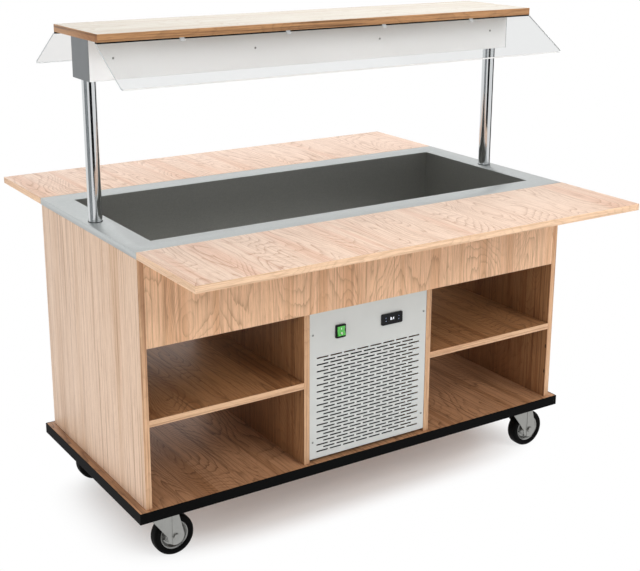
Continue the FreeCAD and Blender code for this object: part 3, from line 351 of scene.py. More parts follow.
@dataclass(frozen=True)
class Laminate(Finish):
    """Walnut laminate: planks with their own tone, arched growth rings, straight lines, fibres and pores."""

    grain: Axis
    across: Axis
    light: str
    mid: str
    dark: str
    seed: float = 0.0
    figure: float = 1.0
    planks: float = 6.5
    rings: float = 34.0
    lines: float = 1.0
    gloss: float = 0.42

    def fibrous(self, shader: Shader, kind: str, shift: Socket) -> Socket:
        """One of the wood's noises.

        Args:
            shader: The graph to add to.
            kind: Its row in WOOD.
            shift: Place of this plank in the wood.

        Returns:
            Its value from 0 to 1.
        """
        across, along, detail, rough, warp = WOOD[kind]
        return shader.noise(shader.spread(drawn_out(self.grain, across, along), shift), detail, rough, warp)

    def plank(self, shader: Shader) -> tuple[Socket, Socket]:
        """Cut the board into planks.

        Args:
            shader: The graph to add to.

        Returns:
            Each plank's place in the wood, as a vector, and its tone from 0 to 1.
        """
        place = shader.split(shader.where.outputs["Object"])[self.across.value]
        number = shader.calc("FLOOR", shader.calc("MULTIPLY_ADD", place, self.planks, self.seed))
        jump = shader.add("ShaderNodeCombineXYZ")
        for index, stride in enumerate(PLANK_STRIDES):
            shader.feed(jump, index, shader.calc("MULTIPLY_ADD", number, stride, self.seed))
        steps = shader.calc("MULTIPLY_ADD", number, TONE_STEP, self.seed * 0.31)
        return jump.outputs[0], shader.calc("FRACT", steps)

    def growth(self, shader: Shader, shift: Socket) -> Socket:
        """Thin late-wood lines along the contours of a slow field, which close into arches.

        Args:
            shader: The graph to add to.
            shift: Place of this plank in the wood.

        Returns:
            Their strength from 0 to 1, rising slowly across each ring and falling off sharply.
        """
        lie, drift, fade = (self.fibrous(shader, kind, shift) for kind in ("lie", "drift", "fade"))
        waves = shader.calc("MULTIPLY_ADD", lie, self.rings, shader.calc("MULTIPLY", drift, 1.1))
        ring = shader.calc("FRACT", waves)
        rise = shader.calc("POWER", ring, 5.0)
        fall = shader.calc("MULTIPLY_ADD", ring, -9.0, 9.0)
        strength = shader.ramp(fade, ((0.30, "404040"), (0.58, "ffffff")), True)
        return shader.calc("MULTIPLY", shader.calc("MINIMUM", rise, fall), strength)

    def paint(self, shader: Shader) -> None:
        """Lay lines, rings, fibres and pores over the ground tone, each in the dark tone.

        Args:
            shader: The graph to fill in.
        """
        shift, tone = self.plank(shader)
        streak, straight, fibre, pores = (self.fibrous(shader, kind, shift)
                                          for kind in ("streak", "straight", "fibre", "pores"))
        ground = shader.calc("MULTIPLY_ADD", tone, 0.10, streak)
        wood = shader.ramp(ground, ((0.40, self.mid), (0.56, self.light)), True)
        lined = shader.ramp(straight, ((0.34, "ffffff"), (0.50, "000000")), True)
        hair = shader.ramp(fibre, ((0.30, "ffffff"), (0.56, "000000")))
        dash = shader.ramp(pores, ((0.60, "000000"), (0.70, "ffffff")))
        for marks, share in ((lined, 0.5 * self.lines), (self.growth(shader, shift), 0.8 * self.figure),
                             (hair, 0.38), (dash, 0.25)):
            wood = shader.blend(shader.calc("MULTIPLY", marks, share), wood, tint(self.dark))
        shader.set(Base_Color=wood, Roughness=shader.between(fibre, self.gloss - 0.06, self.gloss + 0.12),
                   Specular_IOR_Level=0.3)
        shader.relief(shader.calc("SUBTRACT", fibre, shader.calc("MULTIPLY", dash, 0.6)), 0.12 * MM)


@dataclass(frozen=True)
class SatinSteel(Finish):
    """Stainless or zinc-plated sheet with a fine directional grain and cloudy sheen."""

    colour: str
    shade: str
    grain: Axis = Axis.X
    rough: float = 0.34
    metal: float = 1.0
    mottle: float = 30.0

    def paint(self, shader: Shader) -> None:
        """Mix the two tones by scratches and clouds.

        Args:
            shader: The graph to fill in.
        """
        scratch = shader.noise(shader.spread(drawn_out(self.grain, 1900.0, 45.0)), 3.0, 0.6)
        share = shader.calc("MULTIPLY_ADD", shader.cloud(self.mottle, 3.0, 0.6), 0.5,
                            shader.calc("MULTIPLY", scratch, 0.35))
        shader.set(Base_Color=shader.blend(share, tint(self.colour), tint(self.shade)), Metallic=self.metal,
                   Roughness=shader.between(scratch, self.rough - 0.07, self.rough + 0.09))
        shader.relief(scratch, 0.02 * MM)


@dataclass(frozen=True)
class Chrome(Finish):
    """Polished tube with faint handling marks."""

    colour: str = "dddfe0"
    shade: str = "c5c8ca"

    def paint(self, shader: Shader) -> None:
        """Dull the polish where it was handled.

        Args:
            shader: The graph to fill in.
        """
        smear = shader.noise(shader.spread(drawn_out(Axis.Z, 40.0, 6.0)), 3.0, 0.6)
        shader.set(Base_Color=shader.blend(smear, tint(self.colour), tint(self.shade)), Metallic=1.0,
                   Roughness=shader.between(smear, 0.04, 0.13))
        shader.relief(shader.noise(shader.spread(drawn_out(Axis.Z, 900.0, 20.0))), 0.004 * MM, 0.4)


@dataclass(frozen=True)
class Coat(Finish):
    """Paint or plastic: an even colour with fine texture and, where asked, painted shade on the faces that
    don't look along Y, which darkens the walls of a sheet's slots.
    """

    colour: str
    shade: str
    rough: float = 0.4
    grain: float = 1400.0
    depth: float = 0.03 * MM
    coat: float = 0.0
    shine: float = 0.5
    # Dark tone for faces that don't look along Y: painted shade on slot walls.
    painted_slot_shade: Optional[str] = None

    def paint(self, shader: Shader) -> None:
        """Cloud the colour a little and give it its texture.

        Args:
            shader: The graph to fill in.
        """
        peel = shader.cloud(self.grain)
        colour = shader.blend(shader.cloud(9.0, 3.0, 0.6), tint(self.colour), tint(self.shade))
        # Painted shade: faces that don't look along Y, such as slot walls, take the dark tone so that the
        # slots read dark.
        if self.painted_slot_shade:
            face = shader.calc("GREATER_THAN", shader.facing(Axis.Y), 0.7)
            colour = shader.blend(face, tint(self.painted_slot_shade), colour)
        shader.set(Base_Color=colour, Roughness=shader.between(peel, self.rough - 0.05, self.rough + 0.08),
                   Coat_Weight=self.coat, Coat_Roughness=0.12, Specular_IOR_Level=self.shine)
        shader.relief(peel, self.depth)


@dataclass(frozen=True)
class Pane(Finish):
    """Clear guard pane: its grey tint is partly the glass's own and partly painted shade for the shadow that
    it casts; its pale polished edges are opaque, a painted highlight for the light in the glass's edges; its
    ends are greyer.
    """

    face_rise: float = 0.844
    # Tint of the face: partly the glass's own grey, partly painted shade for the shadow that the pane casts
    # on the housing.
    clear: str = "eaebeb"
    # Opaque pale edges: a painted highlight for the light in the glass's edges.
    edge: str = "eef1f1"
    end: str = "c4c8c9"

    def paint(self, shader: Shader) -> None:
        """Tell face, edges and ends apart by the way they look.

        Args:
            shader: The graph to fill in.
        """
        face = shader.calc("GREATER_THAN", shader.facing(Axis.Z), self.face_rise - 0.05)
        is_end = shader.calc("GREATER_THAN", shader.facing(Axis.X), SQUARELY)
        rim = shader.blend(is_end, tint(self.edge), tint(self.end))
        shader.set(Base_Color=shader.blend(face, rim, tint(self.clear)), IOR=1.12, Specular_IOR_Level=0.5,
                   Roughness=shader.between(shader.cloud(7.0, 3.0, 0.6), 0.015, 0.05),
                   Transmission_Weight=face)


@dataclass(frozen=True)
class Glow(Finish):
    """Lamp cover, display or key pointer that glows faintly; on a key pointer the glow is painted light."""

    colour: str
    strength: float
    shade: str = "e4e4df"

    def paint(self, shader: Shader) -> None:
        """Frost the surface and light it.

        Args:
            shader: The graph to fill in.
        """
        frost = shader.cloud(500.0)
        shader.set(Base_Color=shader.blend(frost, tint(self.colour), tint(self.shade)),
                   Roughness=shader.between(frost, 0.35, 0.5), Emission_Color=tint(self.colour),
                   Emission_Strength=self.strength)


@dataclass(frozen=True)
class Fins(Finish):
    """Condenser block: thin fins with dark gaps between them, painted shade."""

    pitch: float = 3.2 * MM

    def paint(self, shader: Shader) -> None:
        """Draw the fins side by side, with painted shade between them, and dust them.

        Args:
            shader: The graph to fill in.
        """
        across = shader.split(shader.where.outputs["Object"])[Axis.X.value]
        phase = shader.calc("FRACT", shader.calc("DIVIDE", across, self.pitch))
        dust = shader.cloud(24.0, 4.0, 0.6)
        colour = shader.blend(shader.calc("MULTIPLY", dust, 0.5), shader.ramp(phase, FIN_AND_GAP_SHADE_STOPS),
                              tint("121211"))
        shader.set(Base_Color=colour, Specular_IOR_Level=0.1, Roughness=shader.between(dust, 0.55, 0.8))
        shader.relief(phase, 0.8 * MM, 0.4)


@dataclass(frozen=True)
class Foam(Finish):
    """Cut foam with open cells."""

    colour: str = "d9cfae"
    shade: str = "c4b587"

    def paint(self, shader: Shader) -> None:
        """Yellow the foam in patches and open its cells.

        Args:
            shader: The graph to fill in.
        """
        cells = shader.cloud(420.0, 3.0, 0.7)
        shader.set(Base_Color=shader.blend(shader.cloud(5.0, 3.0), tint(self.colour), tint(self.shade)),
                   Roughness=shader.between(cells, 0.8, 0.95))
        shader.relief(cells, 0.6 * MM, 0.8)


@dataclass(frozen=True)
class Rubber(Finish):
    """Solid rubber with a faint bloom."""

    colour: str = "030303"
    bloom: str = "080807"

    def paint(self, shader: Shader) -> None:
        """Let the bloom show in patches.

        Args:
            shader: The graph to fill in.
        """
        grit = shader.cloud(700.0, 3.0, 0.6)
        share = shader.calc("MULTIPLY", shader.cloud(35.0, 4.0, 0.6), 0.6)
        shader.set(Base_Color=shader.blend(share, tint(self.colour), tint(self.bloom)),
                   Roughness=shader.between(grit, 0.48, 0.68), Specular_IOR_Level=0.06)
        shader.relief(grit, 0.08 * MM, 0.6)


# ---- mesh helpers
def box_form(low: Sequence[float], high: Sequence[float]) -> Form:
    """A box.

    Args:
        low: Its lowest corner.
        high: Its highest corner.

    Returns:
        The form.
    """
    form = bmesh.new()
    bmesh.ops.create_cube(form, size=1.0)
    size = [end - start for start, end in zip(low, high)]
    middle = [(end + start) / 2 for start, end in zip(low, high)]
    bmesh.ops.scale(form, vec=size, verts=form.verts)
    bmesh.ops.translate(form, vec=middle, verts=form.verts)
    return form


def slab_form(outline: Outline, axis: Axis, low: float, high: float) -> Form:
    """A flat outline given thickness along an axis.

    Args:
        outline: Corners in the two other directions, in their order.
        axis: Direction of the thickness.
        low: Where it starts.
        high: Where it ends.

    Returns:
        The closed form.
    """
    form = bmesh.new()
    corners = []
    for corner in outline:
        place = list(corner)
        place.insert(axis.value, low)
        corners.append(form.verts.new(place))
    grown = bmesh.ops.extrude_face_region(form, geom=[form.faces.new(corners)])
    push = [0.0, 0.0, 0.0]
    push[axis.value] = high - low
    moved = [item for item in grown["geom"] if isinstance(item, bmesh.types.BMVert)]
    bmesh.ops.translate(form, vec=push, verts=moved)
    return form


def spin_form(outline: Outline, centre: Point, steps: int, closed: bool = True) -> Form:
    """A wheel-like form, turned about a line along Y.

    Args:
        outline: Radius and Y offset of each corner.
        centre: Middle of the wheel.
        steps: Facets round the form.
        closed: Whether the outline runs back to its start.

    Returns:
        The turned form.
    """
    form = bmesh.new()
    ring = [form.verts.new((centre[0] + radius, centre[1] + side, centre[2])) for radius, side in outline]
    pairs = list(zip(ring, ring[1:])) + ([(ring[-1], ring[0])] if closed else [])
    lines = [form.edges.new(pair) for pair in pairs]
    bmesh.ops.spin(form, geom=ring + lines, cent=centre, axis=(0, 1, 0), angle=FULL_TURN, steps=steps,
                   use_merge=True, use_duplicate=False)
    bmesh.ops.remove_doubles(form, verts=form.verts, dist=MM / 1000)
    return form


def rod_form(radius: float, length: float, steps: int) -> Form:
    """A round rod along Z, about the origin.

    Args:
        radius: Its radius.
        length: Its length.
        steps: Facets round it.

    Returns:
        The rod.
    """
    form = bmesh.new()
    bmesh.ops.create_cone(form, cap_ends=True, segments=steps, radius1=radius, radius2=radius, depth=length)
    return form


def bevel(form: Form, width: float, segments: int = 2,
          wanted: Optional[Callable[[bmesh.types.BMEdge], bool]] = None) -> None:
    """Round the edges that a test picks, or all of them.

    Args:
        form: The form to change.
        width: Size of the rounding.
        segments: Facets across it.
        wanted: Test of an edge.
    """
    edges = [edge for edge in form.edges if wanted is None or wanted(edge)]
    bmesh.ops.bevel(form, geom=edges, offset=width, offset_type="OFFSET", segments=segments, profile=0.5,
                    affect="EDGES", material=-1, clamp_overlap=True)


def join(forms: Iterable[Form]) -> Form:
    """Put several forms into one.

    Args:
        forms: The forms, used up here.

    Returns:
        The whole.
    """
    whole = bmesh.new()
    for form in forms:
        spare = bpy.data.meshes.new("spare")
        form.to_mesh(spare)
        form.free()
        whole.from_mesh(spare)
        bpy.data.meshes.remove(spare)
    return whole


def put(name: str, form: Form, looks: Sequence[Material]) -> bpy.types.Object:
    """Turn a form into an object of the scene.

    Args:
        name: The object's name.
        form: Its shape, used up here.
        looks: Its materials.

    Returns:
        The object.
    """
    mesh = bpy.data.meshes.new(name)
    form.to_mesh(mesh)
    form.free()
    for look in looks:
        mesh.materials.append(look)
    piece = bpy.data.objects.new(name, mesh)
    bpy.context.scene.collection.objects.link(piece)
    return piece


def finish(name: str, form: Form, looks: Sequence[Material], body: str,
           stands_for: Sequence[str] = (), crease: float = 32.0) -> bpy.types.Object:
    """Turn a form into a dressed piece that rides on a body.

    Args:
        name: The piece's name.
        form: Its shape, used up here.
        looks: Its materials.
        body: The body that carries it.
        stands_for: The nodes that it replaces.
        crease: Edges sharper than this many degrees stay sharp.

    Returns:
        The piece.
    """
    bmesh.ops.recalc_face_normals(form, faces=form.faces)
    piece = put(name, form, looks)
    piece.data.shade_smooth()
    piece.data.set_sharp_from_angle(angle=math.radians(crease))
    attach(piece, body)
    if stands_for:
        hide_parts(*stands_for)
    LOG.info("%s rides on %s", name, body)
    return piece


def dress(look: Finish, *nodes: str) -> None:
    """Give CAD nodes a finish.

    Args:
        look: The finish.
        nodes: The nodes that wear it.
    """
    material = look.build()
    for node in nodes:
        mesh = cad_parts[node].data
        mesh.materials.clear()
        mesh.materials.append(material)
        LOG.info("%s wears %s", node, look.name)


# ---- boards
@dataclass(frozen=True)
class Board:
    """A laminated board with its own stretch of grain and a banded edge."""

    node: str
    thin: Axis
    grain: Axis
    face: Tones
    edge: Tones
    seed: float
    slot: str = "laminate"
    body: str = "cabinet"
    figure: float = 1.0
    lines: float = 1.0
    # Tones for the faces that look into the bays: a darker copy of the laminate, painted shade.
    inside: Optional[Tones] = None
    round_by: float = 0.8 * MM
    crease: float = 25.0

    def outline(self) -> Optional[Outline]:
        """Corners of a board that isn't a plain rectangle, or None."""
        return None

    def make(self) -> bpy.types.Object:
        """Build the board in the place of its node.

        Returns:
            The board.
        """
        low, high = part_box(self.node)
        thin = self.thin.value
        shape = self.outline()
        form = slab_form(shape, self.thin, low[thin], high[thin]) if shape else box_form(low, high)
        bmesh.ops.recalc_face_normals(form, faces=form.faces)
        outward = math.copysign(1.0, low[thin] + high[thin])
        others = [axis for axis in Axis if axis is not self.thin]
        for face in form.faces:
            if abs(face.normal[thin]) > SQUARELY:
                # Faces that look into the bays take the darker copy: painted shade.
                shaded_inner = self.inside and face.normal[thin] * outward < 0
                face.material_index = Skin.INSIDE if shaded_inner else Skin.FACE
            else:
                first = abs(face.normal[others[0].value]) > SQUARELY
                face.material_index = Skin.FIRST_EDGE if first else Skin.SECOND_EDGE
        bevel(form, self.round_by)
        ending = "_skin" if self.node.endswith("board") else "_board"
        looks = [look.build() for look in self.looks(others)]
        return finish(self.node + ending, form, looks, self.body, [self.node], self.crease)

    def looks(self, others: Sequence[Axis]) -> list[Laminate]:
        """Finishes for the slots in Skin, the last, a darker copy that paints shade, only where the inside
        differs.

        Args:
            others: The two directions along the board.

        Returns:
            The finishes in the order of their slots.
        """
        across = next(axis for axis in others if axis is not self.grain)
        looks = [Laminate(self.node + "_face", self.grain, across, *self.face, seed=self.seed,
                          figure=self.figure, lines=self.lines)]
        for along in reversed(others):
            looks.append(Laminate(f"{self.node}_edge_{along.name.lower()}", along, self.thin, *self.edge,
                                  seed=self.seed + 3.1, figure=0.4, planks=0.0, lines=self.lines))
        if self.inside:
            looks.append(Laminate(self.node + "_inside", self.grain, across, *self.inside,
                                  seed=self.seed + 5.2, figure=0.6))
        return looks


@dataclass(frozen=True)
class Divider(Board):
    """A divider, notched at its upper corners round the aprons."""

    def outline(self) -> Outline:
        """Trace the divider from its own box and the apron's.

        Returns:
            Corners in Y and Z.
        """
        low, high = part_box(self.node)
        apron_low, apron_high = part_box("front_apron")
        notch, level = apron_high[1] - apron_low[1], apron_low[2]
        return [(low[1], low[2]), (high[1], low[2]), (high[1], level), (high[1] - notch, level),
                (high[1] - notch, high[2]), (low[1] + notch, high[2]), (low[1] + notch, level),
                (low[1], level)]


@dataclass
class Cabinet:
    """Wooden boards, base band, battens, foam and cover caps."""

    side: Tones = ("e6cab2", "d9b99d", "9d7354")
    # The aprons wear a lighter copy of the laminate: painted light that makes up for the fold-down boards'
    # shadow on them.
    apron: Tones = ("f6cba5", "e7b78f", "8f6240")
    # The base board, the shelves, the dividers and the side panels' faces toward the bays wear darker copies
    # of the laminate: painted shade of the bays.
    shaded_inner: Tones = ("b78a66", "a27653", "4c2d1a")
    shaded_bay: Tones = ("a57852", "8f6340", "422614")
    edges: Tones = ("e0b994", "d3a57f", "915f41")
    divider_edges: Tones = ("d6ae89", "c99a74", "8a5a3d")
    batten: Tones = ("e0c59a", "d3b384", "b08f5e")
    cap_levels: tuple[float, ...] = (0.283, 0.373)
    cap_low: tuple[float, ...] = mm(-1.0, 4.0, -6.0)
    cap_high: tuple[float, ...] = mm(1.0, 8.0, 6.0)

    def make(self) -> None:
        """Build and dress the whole cabinet."""
        self.boards()
        self.trim()

    def boards(self) -> None:
        """Every board of the cabinet, each with its own grain."""
        # Darker tones for the base board, shelves, dividers and the panels' faces toward the bays are painted
        # shade of the bays.
        Board("base_board", Axis.Z, Axis.Y, self.shaded_inner, self.shaded_inner, 4.4, "laminate_base", figure=1.3).make()
        for side, sign in SIDES:
            Board("side_panel_" + side, Axis.X, Axis.Z, self.side, self.edges, 7.0 + 2.3 * sign, figure=0.15,
                  lines=1.35, inside=self.shaded_bay).make()
            Board("shelf_" + side, Axis.Z, Axis.Y, self.shaded_bay, self.edges, 12.0 + 1.9 * sign).make()
            Divider("divider_" + side, Axis.X, Axis.Z, self.shaded_bay, self.divider_edges, 17.0 + 1.1 * sign,
                    figure=0.7).make()
        # The aprons' lighter tones are painted light against the fold-down boards' shadow.
        for face, sign in FACES:
            Board(face + "_apron", Axis.Y, Axis.Z, self.apron, self.edges, 23.0 + 2.7 * sign, figure=0.85,
                  lines=0.75).make()

    def trim(self) -> None:
        """Base band, battens, foam and the two cover caps inside the right panel."""
        dress(Coat("edge_band_black", "050505", "080808", 0.6, 900.0, shine=0.05), "base_edge_band")
        dress(Laminate("batten_wood", Axis.Z, Axis.X, *self.batten, 31.0, 0.6, 0.0), "panel_battens")
        dress(Foam("tank_foam"), "insulation_foam")
        black = Coat("cap_black", "0c0c0d", "141415", 0.5, 900.0, shine=0.15).build()
        low = Vector(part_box("side_panel_right")[0])
        for number, level in enumerate(self.cap_levels, start=1):
            seat = Vector((low.x, low.y, level))
            cap = box_form(seat + Vector(self.cap_low), seat + Vector(self.cap_high))
            bevel(cap, 0.9 * MM, 3)
            finish(f"cover_cap_{number}", cap, [black], "cabinet")


# ---- well
@dataclass
class Well:
    """Stainless rim, dark tank and strainer."""

    opening: tuple[float, ...] = mm(1344.0, 534.0)
    sheet: float = 1.5 * MM
    fold: float = 2.2 * MM

    def make(self) -> None:
        """Build the rim and dress the tank and the strainer."""
        self.rim()
        dress(SatinSteel("tank_steel", "bdbdb9", "888885", Axis.X, 0.32, 0.92, 260.0), "well_tank")
        dress(SatinSteel("strainer_steel", "8d9192", "6f7374", Axis.Z, 0.25), "drain_fitting")

    def rim(self) -> None:
        """Top sheet with folded edges and the well's opening."""
        form = box_form(*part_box("top_rim"))
        under = [face for face in form.faces if face.normal.z < -SQUARELY]
        bmesh.ops.delete(form, geom=under, context="FACES_ONLY")
        bevel(form, self.fold, 3, lambda edge: not edge.is_boundary)
        for axis, width in enumerate(self.opening):
            for sign in (-1, 1):
                way = Vector((0.0, 0.0, 0.0))
                way[axis] = 1.0
                bmesh.ops.bisect_plane(form, geom=[*form.verts, *form.edges, *form.faces],
                                       plane_co=way * (sign * width / 2), plane_no=way)
        hole = [face for face in form.faces if face.normal.z > SQUARELY
                and all(abs(face.calc_center_median()[axis]) < width / 2
                        for axis, width in enumerate(self.opening))]
        bmesh.ops.delete(form, geom=hole, context="FACES")
        steel = SatinSteel("rim_steel", "cdd0cf", "abb0b0", Axis.X, 0.36, 1.0, 120.0).build()
        piece = finish("rim_sheet", form, [steel], "cabinet", ["top_rim"], 40.0)
        wall = piece.modifiers.new("wall", "SOLIDIFY")
        wall.thickness = self.sheet
        wall.offset = -1.0
        wall.use_even_offset = True


# ---- machine compartment
@dataclass
class MachinePanel:
    """Grille and vent panel, screws, switch and thermostat, with the machine behind them."""

    panel_reach: float = 202.5 * MM
    panel_rises: tuple[float, ...] = mm(54.0, 394.0)
    house_reaches: tuple[float, ...] = mm(222.0, 667.0)
    house_rise: float = 59.0 * MM
    screw_radius: float = 3.5 * MM
    screw_rise: float = 1.8 * MM
    recess: tuple[float, ...] = mm(1.1, 4.0)
    recess_deep: float = 0.25 * MM
    rocker_pivot: tuple[float, ...] = mm(-107.0, -340.0, 594.0)
    rocker_turn: float = -9.0
    rocker_slope: float = 4.0 / 13.4
    digit_height: float = 12.0 * MM
    digit_shift: tuple[float, ...] = mm(0.0, 0.78, -0.2)
    pointer: tuple[float, ...] = mm(1.3, 0.9, 1.1)

    def make(self) -> None:
        """Build and dress everything in and on the compartment."""
        # The panels' slot walls take a dark tone: painted shade that makes the slots read dark.
        dress(Coat("panel_powder", "cdd0ce", "c3c6c4", 0.38, 2200.0, 0.02 * MM, painted_slot_shade="18191a"),
              "front_grille_panel", "back_vent_panel")
        dress(Fins("condenser_fins"), "condenser")
        dress(Coat("fan_plastic", "121213", "1d1d1e", 0.5, 800.0, shine=0.3), "fan_rotor")
        dress(Coat("compressor_enamel", "0e0e0f", "191a1b", 0.22, 500.0, 0.04 * MM, 0.2), "compressor")
        self.screws()
        self.switch()
        self.thermostat()

    def screws(self) -> None:
        """Pan heads with a cross recess painted dark as shade, where the screws' solids are."""
        steel = SatinSteel("screw_zinc", "c4c6c3", "8f9290", Axis.X, 0.28).build()
        # The recess bars wear a dark tone: painted shade in the cross recess.
        dark = Coat("screw_recess_shade", "1d1e1f", "0d0d0e", 0.6, 900.0).build()
        panel_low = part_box("front_grille_panel")[0]
        house_low, house_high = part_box("light_housing")
        heads = []
        for _, out in FACES:
            for side in (-1, 1):
                for rise in self.panel_rises:
                    seat = (side * self.panel_reach, out * abs(panel_low[1]), panel_low[2] + rise)
                    heads.append(self.screw_head(Vector(seat), out))
                for reach in self.house_reaches:
                    seat = (side * reach, out * house_high[1], house_low[2] + self.house_rise)
                    heads.append(self.screw_head(Vector(seat), out))
        finish("screw_heads", join(heads), [steel, dark], "cabinet", ["screws"], 40.0)

    def screw_head(self, seat: Vector, out: int) -> Form:
        """One head on its seat.

        Args:
            seat: Middle of the seat.
            out: Way that the head looks along Y.

        Returns:
            The head, with its recess as material 1.
        """
        radius, rise = self.screw_radius, self.screw_rise
        profile = [(0.0, 0.0), (radius, 0.0), (radius, rise * 0.35), (radius * 0.8, rise * 0.8),
                   (radius * 0.5, rise), (0.0, rise)]
        parts = [spin_form([(span, out * side) for span, side in profile], tuple(seat), 20, False)]
        for wide, high in (self.recess, self.recess[::-1]):
            low = Vector((-wide / 2, 0, -high / 2))
            bar = box_form(low, -low + Vector((0, self.recess_deep, 0)))
            place = seat + Vector((0, out * rise - self.recess_deep / 2, 0))
            bmesh.ops.translate(bar, vec=place, verts=bar.verts)
            for face in bar.faces:
                face.material_index = 1
            parts.append(bar)
        return join(parts)

    def switch(self) -> None:
        """Black collar and green rocker with its two generic marks, bent to the rocker's halves."""
        dress(Coat("switch_black_gloss", "0a0a0b", "101011", 0.3, 700.0, 0.02 * MM, 0.05, 0.15),
              "switch_frame")
        dress(Coat("rocker_green", "3fae3b", "57c24c", 0.2, 600.0, 0.01 * MM, 0.6), "switch_rocker")
        bar = box_form(mm(-0.8, -10.6, 3.8), mm(0.8, -9.4, 9.8))
        section = [mm(3.1, -10.7), mm(3.1, -9.4), mm(1.7, -9.4), mm(1.7, -10.7)]
        marks = join([bar, spin_form(section, mm(0.0, 0.0, -7.0), 28)])
        for vert in marks.verts:
            vert.co.y += 1.0 * MM - self.rocker_slope * abs(vert.co.z)
        turned = Matrix.Rotation(math.radians(self.rocker_turn), 4, "X")
        bmesh.ops.transform(marks, matrix=Matrix.Translation(self.rocker_pivot) @ turned, verts=marks.verts)
        white = Coat("mark_white", "f4f6f2", "e6e9e4", 0.4).build()
        finish("rocker_marks", marks, [white], "switch_rocker")

    def thermostat(self) -> None:
        """Bezel, window with plain digits, and keys with small pointers whose faint glow is painted light."""
        dress(Coat("thermostat_black_gloss", "0b0b0d", "121214", 0.3, 900.0, 0.02 * MM, 0.05, 0.15),
              "thermostat_case")
        keys = [f"thermostat_key_{number}" for number in (1, 2, 3, 4)]
        dress(Coat("key_black_satin", "101114", "17181c", 0.45, 900.0, shine=0.2), *keys)
        low, high = (Vector(corner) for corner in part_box("thermostat_case"))
        centre = Vector(((low.x + high.x) / 2, low.y, (low.z + high.z) / 2))
        digits = self.digits("8.4", centre + Vector(self.digit_shift))
        white = Glow("digit_white", "f2f4ff", 0.9).build()
        finish("thermostat_digits", digits, [white], "cabinet")
        # The key pointers glow faintly though they are no lamps: painted light.
        blue = Glow("pointer_blue_painted_glow", "8fa6e8", 0.6).build()
        half, foot, tip = self.pointer
        for number, node in enumerate(keys, start=1):
            low, high = (Vector(corner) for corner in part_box(node))
            middle = (low + high) / 2
            up = 1 if middle.z > centre.z else -1
            points = [(middle.x - half, middle.z - up * foot), (middle.x + half, middle.z - up * foot),
                      (middle.x, middle.z + up * tip)]
            form = slab_form(points, Axis.Y, low.y - 0.12 * MM, low.y + 0.3 * MM)
            finish(f"key_pointer_{number}", form, [blue], node)

    def digits(self, words: str, place: Vector) -> Form:
        """Plain digits, upright on a face that looks to the front.

        Args:
            words: The digits.
            place: Their middle.

        Returns:
            Their form.
        """
        curve = bpy.data.curves.new("digits", "FONT")
        curve.body = words
        curve.size = self.digit_height
        curve.extrude = 0.15 * MM
        curve.align_x = curve.align_y = "CENTER"
        holder = bpy.data.objects.new("digits", curve)
        bpy.context.scene.collection.objects.link(holder)
        shape = bpy.data.meshes.new_from_object(holder.evaluated_get(bpy.context.evaluated_depsgraph_get()))
        form = bmesh.new()
        form.from_mesh(shape)
        bpy.data.objects.remove(holder)
        bmesh.ops.rotate(form, cent=(0, 0, 0), matrix=Z_ONTO_Y, verts=form.verts)
        bmesh.ops.translate(form, vec=place, verts=form.verts)
        return form


